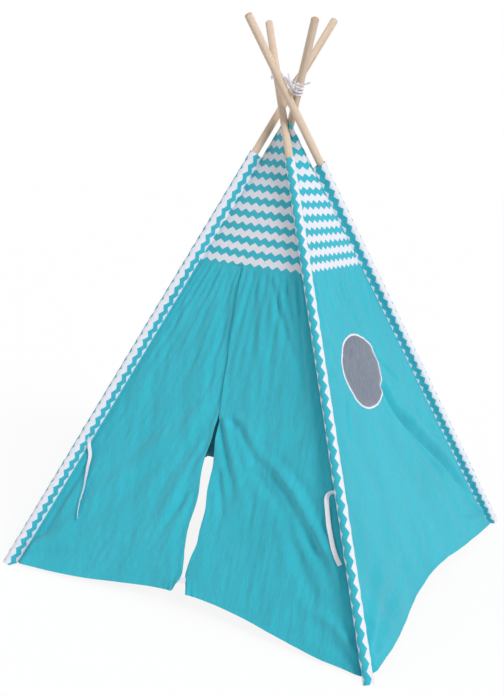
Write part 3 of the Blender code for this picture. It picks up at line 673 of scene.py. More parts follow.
def woodMaterial(name):
    # pale wood with its grain along the pole, darker on its rubbed end
    material, tree, shader = newMaterial(name + "_beech", 0.55, 0.0, 0.35)
    pole = poles[name]
    turn = Matrix((pole["inward"], pole["side"], pole["along"])).to_euler()
    straight = addNode(tree, "ShaderNodeMapping", {"Vector": objectPlace(tree), "Rotation": turn}).outputs[0]
    grain = noiseOf(tree, straight, 1.0, (420.0, 420.0, 9.0), 5.0, 0.6)
    cloudy = noiseOf(tree, straight, 1.0, (60.0, 60.0, 3.0), 3.0)
    pores = noiseOf(tree, straight, 1.0, (1500.0, 1500.0, 60.0), 2.0, 0.7)
    tone = mixColour(tree, rangeOf(tree, cloudy, 0.3, 0.7, 0.0, 0.35), colours["wood"], colours["woodPale"])
    lined = mixColour(tree, rangeOf(tree, grain, 0.50, 0.72, 0.0, 0.45), tone, colours["woodDark"])
    flecked = mixColour(tree, rangeOf(tree, pores, 0.62, 0.75, 0.0, 0.35), lined, colours["woodPores"])
    up = addNode(tree, "ShaderNodeSeparateXYZ", {0: straight}).outputs[2]
    middle, length = topSection(name)
    end = middle.dot(pole["along"]) + length / 2
    worn = rangeOf(tree, up, end - wornEnd, end - 0.0008, 0.0, 0.75)
    tree.links.new(mixColour(tree, worn, flecked, colours["woodEnd"]), shader.inputs["Base Color"])
    tree.links.new(rangeOf(tree, grain, 0.3, 0.7, 0.48, 0.66), shader.inputs["Roughness"])
    bumpInto(tree, shader, [(grain, 0.35, 0.0003), (pores, 0.25, 0.0002)])
    return material


def steelMaterial():
    material, tree, shader = newMaterial("drawn_steel", 0.35, 0.0, 0.5, 1.0)
    scratches = noiseOf(tree, objectPlace(tree), 240.0, (1.0, 1.0, 0.15), 4.0)
    tree.links.new(mixColour(tree, scratches, colours["steel"], colours["steelDark"]), shader.inputs["Base Color"])
    tree.links.new(rangeOf(tree, scratches, 0.2, 0.8, 0.26, 0.46), shader.inputs["Roughness"])
    bumpInto(tree, shader, [(scratches, 0.15, 0.0002)])
    return material


def ropeMaterial():
    material, tree, shader = newMaterial("braided_cotton_rope", 0.9, 0.15, 0.15)
    fibre = noiseOf(tree, objectPlace(tree), 900.0)
    tree.links.new(mixColour(tree, fibre, colours["rope"], colours["ropeDark"]), shader.inputs["Base Color"])
    bumpInto(tree, shader, [(fibre, 0.5, 0.0004)])
    return material


materials = {
    "plain": cottonMaterial("plain_teal_cotton", False),
    "printed": cottonMaterial("chevron_cotton", True),
    "tape": tapeMaterial("white_cotton_tape", colours["tape"]),
    # the ribbons' tape with painted light: a lighter copy of the white tape
    "ribbon": tapeMaterial("white_cotton_ribbon_painted_lighter", colours["ribbon"]),
    "netting": tapeMaterial("grey_netting", colours["netting"], 0.0006),
    "steel": steelMaterial(),
    "rope": ropeMaterial(),
}
for poleName in cornerNames:
    materials[poleName] = woodMaterial(poleName)
print("materials made")

rope = {
    "thick": 0.0060,
    "hole": 0.0070,
    "wall": 0.010,           # the hole's middle to the pole's surface
    "lead": 0.020,           # and to where the rope may bend
    "tail": 0.038,
    "standOff": 0.012,       # the knot in front of its pole
    "knotDown": 0.010,       # and below the pole's hole
    "order": ["back_right", "front_right", "front_left", "back_left"],
    "holes": {               # the middle of each pole's hole and its way
        "back_right": ((-0.0026, -0.1033, 1.4358), (-0.900, -0.430, -0.070)),
        "front_right": ((-0.0698, 0.0128, 1.4471), (0.117, 0.936, -0.331)),
        "front_left": ((-0.0179, 0.0703, 1.4591), (0.826, -0.560, -0.068)),
        "back_left": ((0.0512, -0.0753, 1.4283), (-0.027, -0.913, -0.407)),
    },
    # the tails' points from the knot, up and to the side, in lengths of a tail
    "firstTail": (0.78, -0.84),
    "secondTail": [(0.45, 0.42), (0.86, 0.98)],
    "slack": {"front_left": 0.020},            # how far the run to this pole hangs
    "lashed": ("back_left", "front_right"),    # the poles that the turns of the lashing hold together
    "lashedAt": (-0.015, 0.002),               # its first turn, from their holes
    "turns": 2,
    "turnDown": (-0.0096, 0.0096),             # how far each turn moves along each pole
    "lashedRadius": 0.0132,
    "wrap": 98,              # degrees that a turn goes round its pole, each way from its outermost point
    "wrapStart": 10,         # where the first turn begins
    "wrapEnd": 190,          # and the last one ends
    "wrapStep": 12,          # from one point to the next
    "spanPoints": 17,        # from one pole to the other
    "strand": 0.00155,       # its radius
    "twist": 0.019,          # length of a strand's turn
    "steps": 10,             # from one point of its route to the next
    "knot": 0.50,            # size of the knot's loop, in thicknesses of the rope
    "knotDeep": 1.3,         # its depth, in sizes of the loop
    "knotPoints": 90,
}


def ropeFrame(line):
    # directions across the rope that turn as little as they can
    ahead = np.gradient(line, axis=0)
    ahead /= np.linalg.norm(ahead, axis=-1, keepdims=True)
    first = np.cross(ahead[0], (0.3, 0.5, 0.8))
    ways = [first / np.linalg.norm(first)]
    for way in ahead[1:]:
        moved = ways[-1] - way * (ways[-1] @ way)
        ways.append(moved / np.linalg.norm(moved))
    ways = np.array(ways)
    return ways, np.cross(ahead, ways)


def tubeAround(line, radius, around=8):
    # rings of points round a line, drawn in to a point at both ends, with metres along and round
    first, second = ropeFrame(line)
    turn = np.linspace(0, 2 * math.pi, around + 1)
    circle = first[:, None] * np.cos(turn)[None, :, None] + second[:, None] * np.sin(turn)[None, :, None]
    start, end = (np.repeat(point[:, None], around + 1, 1) for point in (line[:1], line[-1:]))
    rings = np.concatenate([start, line[:, None] + radius * circle, end])
    along = np.pad(lengthAlong(line), 1, mode="edge")
    return rings, np.stack(np.broadcast_arrays(along[:, None], turn[None] * radius), axis=-1)


def twistedStrands(line):
    first, second = ropeFrame(line)
    along = lengthAlong(line)
    reach = rope["thick"] / 2 - rope["strand"]
    strands = []
    for k in range(3):
        turn = (along / rope["twist"] + k / 3) * 2 * math.pi
        strands.append(line + reach * (first * np.cos(turn)[:, None] + second * np.sin(turn)[:, None]))
    return strands


def lashing():
    # a figure of eight round two poles: points, how far each follows its pole, and where the spans cross
    centres = [Vector(rope["holes"][name][0]) + poles[name]["along"] * at
               for name, at in zip(rope["lashed"], rope["lashedAt"])]
    between = (centres[0] - centres[1]).normalized()
    wrap = rope["wrap"]
    points, cuts = [], []

    def arc(which, turn, start, end):
        along = poles[rope["lashed"][which]]["along"]
        outer = between if which == 0 else -between
        outer = (outer - along * outer.dot(along)).normalized()
        side = along.cross(between).normalized()
        middle = centres[which] + along * rope["turnDown"][which] * turn
        for angle in np.radians(np.linspace(start, end, max(5, round(abs(end - start) / rope["wrapStep"])))):
            away = (outer * math.cos(angle) + side * math.sin(angle)) * rope["lashedRadius"]
            points.append((*(middle + away), 1.0))

    def span(nextArc):
        # straight from the end of one arc to the start of the next, free in its middle
        start, here, count = Vector(points[-1][:3]), len(points), rope["spanPoints"]
        nextArc()
        end = Vector(points[here][:3])
        free = [(*start.lerp(end, k / count), abs(2 * k / count - 1)) for k in range(1, count)]
        half = min(range(len(free)), key=lambda k: free[k][3])
        free[half] = (*free[half][:3], 0.0)
        points[here:here] = free
        cuts.append(here + half)

    arc(0, 0, rope["wrapStart"], wrap)
    for turn in range(rope["turns"]):
        span(lambda: arc(1, turn + 0.5, -wrap, wrap))
        span(lambda: arc(0, turn + 1, -wrap, wrap if turn + 1 < rope["turns"] else rope["wrapEnd"]))
    return points, cuts


def ropeRoute():
    # control points with how far each follows its pole, cut into runs at the middles of the spans
    last = rope["order"][-1]
    lastHole, lastWay = (Vector(v) for v in rope["holes"][last])
    along = poles[last]["along"]
    across = along.cross(lastWay).normalized()
    knot = lastHole + lastWay * (rope["wall"] + rope["standOff"]) - along * rope["knotDown"]
    tailEnds = [rope["firstTail"]] + rope["secondTail"]
    tails = [knot + (along * up + across * side) * rope["tail"] for up, side in tailEnds]
    wound, woundCuts = lashing()
    head = finer([(*tails[0], 1.0), (*(knot - across * 2 * rope["thick"]), 1.0), wound[0]],
                 rope["steps"])[:-1]
    control, cuts = [wound[-1]], []
    for name in rope["order"]:
        hole, way = (Vector(v) for v in rope["holes"][name])
        entry = hole - way * rope["lead"]
        middle = (Vector(control[-1][:3]) + entry) / 2 - Vector((0, 0, rope["slack"].get(name, 0.0)))
        cuts.append(len(control))
        control.append((*middle, 0.0))
        for step in (-rope["lead"], -rope["wall"], 0.0, rope["wall"], rope["lead"]):
            control.append((*(hole + way * step), 1.0))
    control += [(*tails[1], 1.0), (*tails[2], 1.0)]
    line = np.array(head + [np.array(p) for p in wound] + finer(control, rope["steps"])[1:])
    before = len(head) + len(wound) - 1
    bounds = [0] + [len(head) + cut for cut in woundCuts]
    bounds += [before + cut * rope["steps"] for cut in cuts] + [len(line) - 1]
    owners = [rope["lashed"][k % 2] for k in range(2 * rope["turns"] + 1)] + rope["order"]
    return line, bounds, owners, knot, (across, along, lastWay)


def joined(name, tubes):
    # one piece from several tubes
    objects = [gridObject(f"{name}_{k}", points, uv, follow) for k, (points, uv, follow) in enumerate(tubes)]
    clearSelection()
    for obj in objects:
        obj.select_set(True)
    bpy.context.view_layer.objects.active = objects[0]
    bpy.ops.object.join()
    objects[0].name = name
    objects[0].data.shade_smooth()
    return objects[0]


def makeRope():
    line, bounds, owners, knot, knotWays = ropeRoute()
    route, follow = line[:, :3], np.clip(line[:, 3], 0, 1)
    strands = twistedStrands(route)
    print("rope length", round(float(lengthAlong(route)[-1]), 3))
    for name in cornerNames:
        tubes = []
        for start, end, owner in zip(bounds, bounds[1:], owners):
            if owner != name:
                continue
            near = np.pad(follow[start:end + 1], 1, mode="edge")
            for strand in strands:
                points, uv = tubeAround(strand[start:end + 1], rope["strand"])
                tubes.append((points, uv, np.repeat(near[:, None], points.shape[1], 1)))
        obj = joined("rope_at_" + name, tubes)
        paint(obj, materials["rope"])
        blendBy(obj, "cover", name + "_pole")
        if name == owners[0]:
            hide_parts("lashing_rope")
    # the knot, an overhand loop drawn tight in front of the last pole
    t = np.linspace(0, 2 * math.pi, rope["knotPoints"])
    size = rope["thick"] * rope["knot"]
    place = [(np.sin(t) + 2 * np.sin(2 * t)) * size, (np.cos(t) - 2 * np.cos(2 * t)) * size,
             -np.sin(3 * t) * size * rope["knotDeep"]]
    loop = np.array(knot) + sum(p[:, None] * np.array(way) for p, way in zip(place, knotWays))
    obj = joined("rope_knot", [(*tubeAround(strand, rope["strand"]), None) for strand in twistedStrands(loop)])
    paint(obj, materials["rope"])
    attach(obj, owners[-1] + "_pole")


makeRope()
print("rope made")


def metreStops(total, hemStart, hemEnd):
    # distances over a width, with extra ones where a hem's fold steps down
    hem = cover["hem"]
    steps = [stop * hem for stop in cover["hemStops"]]
    low = steps if hemStart else [0.0]
    high = [total - d for d in reversed(steps)] if hemEnd else [total]
    count = max(2, round((high[0] - low[-1]) / cover["spacing"]))
    middle = [lerp(low[-1], high[0], i / count) for i in range(1, count)]
    return np.array(low + middle + high)


def hemHeight(distance):
    start, end = (stop * cover["hem"] for stop in cover["hemFold"])
    return cover["hemStep"] * (1 - smooth(start, end, distance))


def sheetPoints(side, leftShare, rightShare, lowZ, highZ, widest, hems=(), lift=None, hole=None):
    # rows and columns of points over a piece of a side
    tall = float(highZ(np.array(0.5)) - lowZ(np.array(0.5)))
    upStops = metreStops(tall, "low" in hems, False)
    acrossStops = metreStops(widest, "left" in hems, "right" in hems)
    up, across = np.meshgrid(upStops, acrossStops / widest, indexing="ij")
    s, z = across, up
    for _ in range(12):       # a height gives a share, a share a height: both settle
        bottom, top = lowZ(s), highZ(s)
        z = bottom + up * (top - bottom) / tall
        first, last = leftShare(z), rightShare(z)
        s = lerp(first, last, across)
    keep = None
    if hole is not None:
        s, z, keep = hole(side, s, z)
    points, out, a, h = onSide(side, s, z)
    width = widthOf(side, z)
    stand = foldHeight(side, s, z, a, h)
    if "low" in hems:
        stand = stand + hemHeight((z - lowZ(s)) / side["slope"])
    if "left" in hems:
        stand = stand + hemHeight((s - first) * width)
    if "right" in hems:
        stand = stand + hemHeight((last - s) * width)
    if lift is not None:
        stand = stand + lift(s, z, a, h)
    return points + out * stand[..., None], a, h, s, z, keep


def sheetObject(name, side, material, slot, weight, bodies, held, *shape, **more):
    points, a, h, s, z, keep = sheetPoints(side, *shape, **more)
    fromSide = seamAt(side["left"], z) @ side["axis"] + s * widthOf(side, z)
    printAcross = fromSide * cover["printScale"][side["name"]]
    uv = np.stack([printAcross, h - bandLow / side["slope"] - cover["printUp"]], axis=-1)
    obj = gridObject(name, points, uv, weight(s, z, a, h), keep)
    thicken(obj, cover["thick"])
    paint(obj, materials[material])
    blendBy(obj, *bodies)
    declareSheet(obj, points, held, keep)
    return obj


def constant(value):
    return lambda x: np.full(np.shape(x), float(value))


def seamEdges(side):
    # the shares of the width where the cloth begins and ends
    return (lambda z: cover["seamGap"] / widthOf(side, z)), (lambda z: 1 - cover["seamGap"] / widthOf(side, z))


def halfFollow(s, half, rest=(0.5, 0.5)):
    # how far half of a side follows its pole: from wholly at the seam to not at all at its share in rest
    return 1 - smooth(0.0, rest[0], s) if half == "left" else smooth(rest[1], 1.0, s)


def makeHalves(name, kind, finish, split, rest, low, high, wide, node, **more):
    # cloth in two pieces that meet at a share of the width, each keeping at its points how far it follows its own
    # pole
    side = sides[name]
    first, last = seamEdges(side)
    made = [sheetObject(f"{name}_{kind}_{half}", side, *finish, lambda s, z, a, h: halfFollow(s, half, rest),
                        ("cover", side[half] + "_pole"), "stretched", start, end, low, high, wide * part, **more)
            for half, start, end, part in (("left", first, constant(split), split),
                                           ("right", constant(split), last, 1 - split))]
    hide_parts(node)


def makeBand(name, topEdge, split=0.5, rest=(0.5, 0.5), lift=None):
    makeHalves(name, "band", ("printed", "chevron_cotton"), split, rest, constant(bandLow),
               lambda s: readCurve(topEdge, s), float(widthOf(sides[name], np.array(bandLow))), name + "_top_panel",
               lift=lift)


def makePanel(name, hole=None):
    makeHalves(name, "cloth", ("plain", "teal_cotton"), 0.5, (0.5, 0.5), hemLow(name), constant(bandLow),
               float(widthOf(sides[name], np.array(0.0))), name + "_panel", hems=("low",), hole=hole)


def rightTipLift(s, z, a, h):
    return 0.0028 * smooth(1.255, 1.295, z) * np.sin(math.pi * np.clip(s, 0, 1)) ** 0.7


def frontTipLift(s, z, a, h):
    # out in front of the pole behind the tip
    return 0.0016 * smooth(1.27, 1.29, z) * np.exp(-((s - 0.74) / 0.13) ** 2)


def windowCut(side, s, z):
    # leaves out the cloth inside the window, and brings the points beside it onto its outline
    _, _, a, h = onSide(side, s, z)
    da, dh, away, edge = fromWindow(a, h)
    edge = edge - window["underTape"]
    inside = away < edge
    gone = inside[:-1, :-1] & inside[:-1, 1:] & inside[1:, :-1] & inside[1:, 1:]
    grow = np.where(inside, edge / np.maximum(away, tiny), 1.0)
    z = (window["middle"][1] + dh * grow) * side["slope"]
    return shareOf(side, window["middle"][0] + da * grow, z), z, ~gone


def placeAt(side, a, h, lift=0.0):
    # points of the folded cloth at places (a, h), moved outwards by lift, and their shares of the width
    z = h * side["slope"]
    s = shareOf(side, a, z)
    points, out, _, _ = onSide(side, s, z)
    return points + out * (foldHeight(side, s, z, a, h) + lift)[..., None], s


def windowHalf(obj, half, material):
    paint(obj, materials[material])
    blendBy(obj, "cover", sides["right"][half] + "_pole")


def makeBinding():
    # tape folded over the edges of the cloth and the netting
    side = sides["right"]
    angle = np.linspace(0, 2 * math.pi, window["around"], endpoint=False)
    edge = windowEdge(angle)
    wide = window["tape"][0] - window["tape"][1] * (0.5 + 0.5 * np.cos(angle))
    turn = np.linspace(0, 2 * math.pi, window["section"] + 1)
    across, above = (np.sign(part) * np.abs(part) ** power
                     for part, power in zip((np.cos(turn), np.sin(turn)), window["tapeSquare"]))
    # small puckers where it is sewn
    pucker = 0.00035 * np.sin(angle * 23 + 2 * np.sin(angle * 5)) + 0.00025 * np.sin(angle * 41)
    radius = edge[:, None] - wide[:, None] / 2 * (1 - across) + pucker[:, None]
    lift = above * (window["tapeThick"] / 2) * (1 + 0.12 * np.sin(angle * 31))[:, None] + 0.8 * pucker[:, None]
    a = window["middle"][0] + radius * np.cos(angle)[:, None]
    h = window["middle"][1] + radius * np.sin(angle)[:, None]
    points, s = placeAt(side, a, h, lift)
    along = np.cumsum(np.linalg.norm(points[:, 0] - np.roll(points[:, 0], 1, axis=0), axis=-1))
    uv = np.stack(np.broadcast_arrays(along[:, None], turn / (2 * math.pi) * 2.2 * wide[:, None]), axis=-1)
    isLeft = s.mean(axis=1) < 0.5
    made = []
    for half, chosen in (("left", isLeft), ("right", ~isLeft)):
        order = np.arange(window["around"])
        start = int(np.argmax(chosen & ~np.roll(chosen, 1)))
        order = np.roll(order, -start)
        order = order[chosen[order]]
        ring = np.append(order, (order[-1] + 1) % window["around"])
        obj = gridObject(f"window_tape_{half}", points[ring], uv[ring], halfFollow(s[ring], half))
        capEnds(obj)
        windowHalf(obj, half, "tape")
        made.append(obj)
    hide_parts("window_binding")
    return made


def capEnds(obj):
    # closes the open ends of a tube, and turns its faces outwards
    closing = bmesh.new()
    closing.from_mesh(obj.data)
    bmesh.ops.remove_doubles(closing, verts=closing.verts, dist=tiny)
    bmesh.ops.holes_fill(closing, edges=[e for e in closing.edges if e.is_boundary], sides=0)
    bmesh.ops.recalc_face_normals(closing, faces=closing.faces)
    closing.to_mesh(obj.data)
    closing.free()
    obj.data.shade_smooth()
    obj.data.set_sharp_from_angle(angle=math.radians(60))


def makeNetting(tapes):
    # threads on a square mesh, cut to the window's outline
    side = sides["right"]
    reach = math.ceil(window["radius"] * window["netReach"] / window["mesh"])
    rows = window["middle"][1] + np.arange(-reach, reach + 1) * window["mesh"]
    seams = [seamAt(side[half], rows * side["slope"]) for half in ("left", "right")]
    split = (seams[0] + seams[1]) @ side["axis"] / 2
    for half, tape in zip(("left", "right"), tapes):
        steps = np.arange(-2 * reach, 1) if half == "left" else np.arange(0, 2 * reach + 1)
        a = split[:, None] + steps * window["mesh"]
        h = np.broadcast_to(rows[:, None], a.shape)
        da, dh, away, edge = fromWindow(a, h)
        edge = edge - window["netEdge"]
        inside = away < edge
        keep = inside[:-1, :-1] | inside[:-1, 1:] | inside[1:, :-1] | inside[1:, 1:]
        shrink = np.where(inside, 1.0, edge / np.maximum(away, tiny))
        newA = np.where(steps == 0, a, window["middle"][0] + da * shrink)
        points, s = placeAt(side, newA, window["middle"][1] + dh * shrink)
        obj = gridObject(f"window_net_{half}", points, np.stack([newA, h], axis=-1), halfFollow(s, half), keep)
        threadsOf = obj.modifiers.new("Threads", "WIREFRAME")
        threadsOf.thickness = window["thread"]
        threadsOf.use_even_offset = False
        applyAll(obj)
        windowHalf(obj, half, "netting")
        declareSheet(obj, points, "stretched", keep, with_pieces=[tape])
    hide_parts("window_netting")


tipTop = bandHigh + cover["tipRidge"][-1][0]
backTop = bandHigh + cover["backRise"]
frontTopEdge = [(0.0, 1.307), (0.5, 1.3035), (0.88, 1.3040), (1.0, 1.3130)]
makeBand("front", frontTopEdge, 0.40, (0.363, 0.430), frontTipLift)      # it follows the flaps' fold lines
makeBand("right", [(0.0, tipTop), (0.5, 1.3165), (1.0, 1.3095)], lift=rightTipLift)
for sideName in ("back", "left"):
    makeBand(sideName, [(0.0, backTop), (1.0, backTop)])
makePanel("right", windowCut)
for sideName in ("back", "left"):
    makePanel(sideName)
print("cover made")
makeNetting(makeBinding())
print("window made")

door = {
    "creaseFoot": 0.52 * 0.58,     # where a flap's fold line meets the hem
    "creaseTop": (-0.0781, -0.0400),
    "lapTop": 0.574,               # below this the flaps part
    "lapSoft": 0.03,               # half the height over which they do
    "lapNear": 0.02,               # how near the slit they lap wholly
    "lapFade": 0.03,
    "lapLift": 0.0027,             # the flaps' distance from the plain side where they lap
    "corner": (0.02, 0.055),       # where each lower corner curls out, how far round it, and how much
    "cornerSize": (0.035, 0.030),
    "cornerOut": 0.006,
    "cornerWave": 0.0045,
    "roll": 0.003,                 # waves along the loose edges, and how far they reach in
    "rollWide": 0.012,
    "sewn": 0.16,                  # the flap's share that follows its door grows from nothing to whole over this height
    "bend": 0.05,                  # and over this width beside its fold line
    "sideWide": 0.28,
    "flapWide": 0.30,
}
# edges of the flaps along the slit: (h, a)
rightEdge = [(0.00, 0.026), (0.045, 0.022), (0.063, 0.018), (0.085, 0.010), (0.111, 0.001), (0.135, 0.003),
             (0.162, 0.008), (0.200, 0.017), (0.238, 0.0145), (0.303, 0.016), (0.349, 0.009), (0.412, 0.004),
             (0.481, -0.006), (0.540, -0.0118), (0.574, -0.0150), (0.605, -0.0187), (0.656, -0.0248),
             (0.757, -0.0347), (0.874, -0.0455), (0.963, -0.0501), (1.02, -0.0535)]
leftEdge = [(0.00, -0.034), (0.045, -0.030), (0.058, -0.026), (0.080, -0.017), (0.109, -0.008), (0.140, -0.014),
            (0.183, -0.021), (0.240, -0.024), (0.323, -0.019), (0.389, -0.025), (0.449, -0.023),
            (0.539, -0.0178), (0.574, -0.0150), (0.605, -0.0105), (0.656, -0.0110), (0.780, -0.0160), (1.02, -0.024)]
slitEdges = {-1: leftEdge, 1: rightEdge}


def creaseAt(way, z):
    top = door["creaseTop"][0 if way < 0 else 1]
    return lerp(way * door["creaseFoot"], top, z / bandLow)


def edgeAt(way, z):
    return readCurve(slitEdges[way], np.asarray(z) / sides["front"]["slope"])


def lapLift(way):
    # near the slit the right flap lies over the left one, from the band down to the gap
    def lift(s, z, a, h):
        lapped = smooth(door["lapTop"] - door["lapSoft"], door["lapTop"] + door["lapSoft"], h)
        lapped *= 1 - 0.6 * smooth(0.96, 1.02, h)
        near = np.exp(-(np.maximum(0, np.abs(a - edgeAt(1, z)) - door["lapNear"]) / door["lapFade"]) ** 2)
        (cornerA, cornerH), (wide, tall) = door["corner"], door["cornerSize"]
        corner = np.exp(-((a - way * cornerA) / wide) ** 2 - ((h - cornerH) / tall) ** 2)
        curl = corner * (door["cornerWave"] * np.sin(a * 330 + h * 90) + door["cornerOut"])
        edgeRoll = door["roll"] * np.exp(-(np.abs(a - edgeAt(way, z)) / door["rollWide"]))
        parted = 1 - smooth(0.45, 0.56, h)
        return way * door["lapLift"] * lapped * near + curl + edgeRoll * parted * np.sin(h * 38 + way)
    return lift


def makeDoorSide(way, word):
    # the front cloth from a corner seam to the slit: the part beside the seam, and the flap
    side = sides["front"]
    seam = seamEdges(side)[0 if way < 0 else 1]
    crease = lambda z: shareOf(side, creaseAt(way, z), z)
    slit = lambda z: shareOf(side, edgeAt(way, z), z)

    def followPole(s, z, a, h):
        at = crease(z)
        return 1 - smooth(0.0, 1.0, s / at) if way < 0 else smooth(0.0, 1.0, (s - at) / (1 - at))

    def followDoor(s, z, a, h):
        away = np.abs(a - creaseAt(way, z))
        return smooth(0, door["bend"], away) * smooth(0, door["sewn"], (bandLow - z) / side["slope"])

    for kind, follow, body, held, edges, wide, hems in (
            ("side", followPole, f"front_{word}_pole", "stretched", (seam, crease), door["sideWide"], ("low",)),
            ("flap", followDoor, word + "_door", "hung", (crease, slit), door["flapWide"],
             ("low", "right" if way < 0 else "left"))):
        obj = sheetObject(f"{word}_{kind}_cloth", side, "plain", "teal_cotton", follow, ("cover", body), held,
                          *edges[::-way],          # from left to right
                          hemLow("front"), constant(bandLow), wide, hems=hems, lift=lapLift(way))
        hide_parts(f"{word}_door_{kind}")


makeDoorSide(-1, "left")
makeDoorSide(1, "right")
print("door made")

ribbon = {
    "wide": 0.012,
    "thick": 0.0007,
    "across": 5,
    # places (a, h), how far out, and the turn of the ribbon in degrees, from its sewn end to its loose end
    "left": [(-0.4225, 0.4185, 0.0150, -30), (-0.4200, 0.4060, 0.0150, -15), (-0.4121, 0.3894, 0.0120, 0),
             (-0.4046, 0.3631, 0.0085, 2), (-0.4003, 0.3293, 0.0070, -12), (-0.3957, 0.2981, 0.0065, -24),
             (-0.3926, 0.2668, 0.0070, -34), (-0.3945, 0.2297, 0.0075, -42), (-0.3903, 0.1988, 0.0080, -48),
             (-0.3844, 0.1730, 0.0080, -52)],
    "right": [(0.3850, 0.4235, 0.0030, 30), (0.3770, 0.4262, 0.0055, 45), (0.3690, 0.4230, 0.0075, 60),
              (0.3632, 0.4110, 0.0085, 38), (0.3667, 0.3938, 0.0085, 12), (0.3758, 0.3660, 0.0075, 6),
              (0.3855, 0.3382, 0.0065, 10), (0.3979, 0.3096, 0.0060, 6), (0.4084, 0.2884, 0.0060, 12),
              (0.4218, 0.2681, 0.0060, 18), (0.4372, 0.2506, 0.0060, 25)],
}


def stripPoints(side, route, wide, across):
    # rows of points over a narrow strip that follows a route and turns about it
    line = np.array(finer(route))
    a, h, lift, turn = line.T
    middle, s = placeAt(side, a, h, lift)
    ahead = np.gradient(middle, axis=0)
    ahead /= np.linalg.norm(ahead, axis=-1, keepdims=True)
    out = onSide(side, s, h * side["slope"])[1]
    flat = np.cross(ahead, out)
    flat /= np.linalg.norm(flat, axis=-1, keepdims=True)
    out = np.cross(flat, ahead)
    turn = np.radians(turn)[:, None]
    way = flat * np.cos(turn) + out * np.sin(turn)
    steps = np.linspace(-0.5, 0.5, across) * wide
    points = middle[:, None] + way[:, None] * steps[None, :, None]
    return points, np.stack(np.broadcast_arrays(lengthAlong(middle)[:, None], steps[None]), axis=-1)


tab = {
    # a short piece of tape that holds the flaps together low on the slit
    "wide": 0.0150,
    "thick": 0.0009,
    "across": 7,
    "route": [(0.0085, 0.0965, -0.0022, 0), (0.0040, 0.0963, -0.0004, 0), (-0.0030, 0.0956, 0.0012, 0),
              (-0.0118, 0.0944, 0.0018, 0)],
}


def makeStrip(name, strip, route, finish, body, node, held):
    points, uv = stripPoints(sides["front"], strip[route], strip["wide"], strip["across"])
    obj = gridObject(name, points, uv)
    thicken(obj, strip["thick"])
    paint(obj, materials[finish])
    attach(obj, body)
    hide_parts(node)
    declareSheet(obj, points, held)


for word in ("left", "right"):
    makeStrip(word + "_ribbon", ribbon, word, "ribbon", f"front_{word}_pole", word + "_tie_ribbon", "hung")
makeStrip("slit_tab", tab, "route", "tape", "right_door", "door_tab", "folded")
print("ribbons and tab made")


sleeve = {
    "radius": 0.0138,
    "reach": 0.0252,        # the tail's end, at the corner seam
    "tail": 0.0011,         # half its thickness
    "wall": 0.0008,
    "spacing": 0.0060,
    "floorGap": 0.0006,
    "around": 44,
    "topHem": 0.0006,       # how much the doubled cloth at the top stands out
    "phase": {"front_left": 0.0252, "front_right": 0.0203, "back_right": -0.0067, "back_left": 0.0282},
    "phaseFoot": {"front_left": -0.0040},     # the print turns round the pole towards its foot
    "turnOver": 0.45,                         # over this length
    "printAlong": {"front_right": 0.86},      # of the zigzag along the pole
    "rise": 0.006,          # the cloth's top above its packed one
    "footUp": 0.0085,       # the middle of the closed end
    "footRings": (0.86, 0.60, 0.30, 0.0),     # its rings, as shares of the sleeve
    "bow": 0.0012,          # the flanks bend in by this much
    # waves of the cloth: metres from crest to crest and along a crest, lean of the crests, and height
    "loose": (0.035, 0.09, 70),
    "looseHigh": 0.0005,
    "slack": (0.05, 0.30, 90),
    "slackHigh": 0.0004,
}


def dropShape(radius):
    # half of the outline of a loop of cloth round a pole, from its outermost point to its seam
    reach, tail = sleeve["reach"], sleeve["tail"]
    touch = math.atan2(tail, reach) + math.acos(radius / math.hypot(reach, tail))
    arc = radius * (math.pi - touch)
    flank = math.hypot(reach - radius * math.cos(touch), tail - radius * math.sin(touch))
    return touch, arc, flank


def sleeveRow(count, radiusAt):
    # points (x, y, length round) of the outline, from one side of the seam round to the other
    out = []
    half = count // 2
    for k in range(count + 1):
        d = abs(k - half) / half
        way = 1 if k >= half else -1
        radius = radiusAt(way * d)
        touch, arc, flank = dropShape(radius)
        total = arc + flank
        if d * total <= arc:
            angle = math.pi - d * total / radius
            x, y = radius * math.cos(angle), radius * math.sin(angle)
        else:
            t = (d * total - arc) / flank
            x = lerp(radius * math.cos(touch), sleeve["reach"], t)
            y = lerp(radius * math.sin(touch), sleeve["tail"], t) - sleeve["bow"] * math.sin(math.pi * t)
        out.append((x, way * y, way * d * total))
    return out


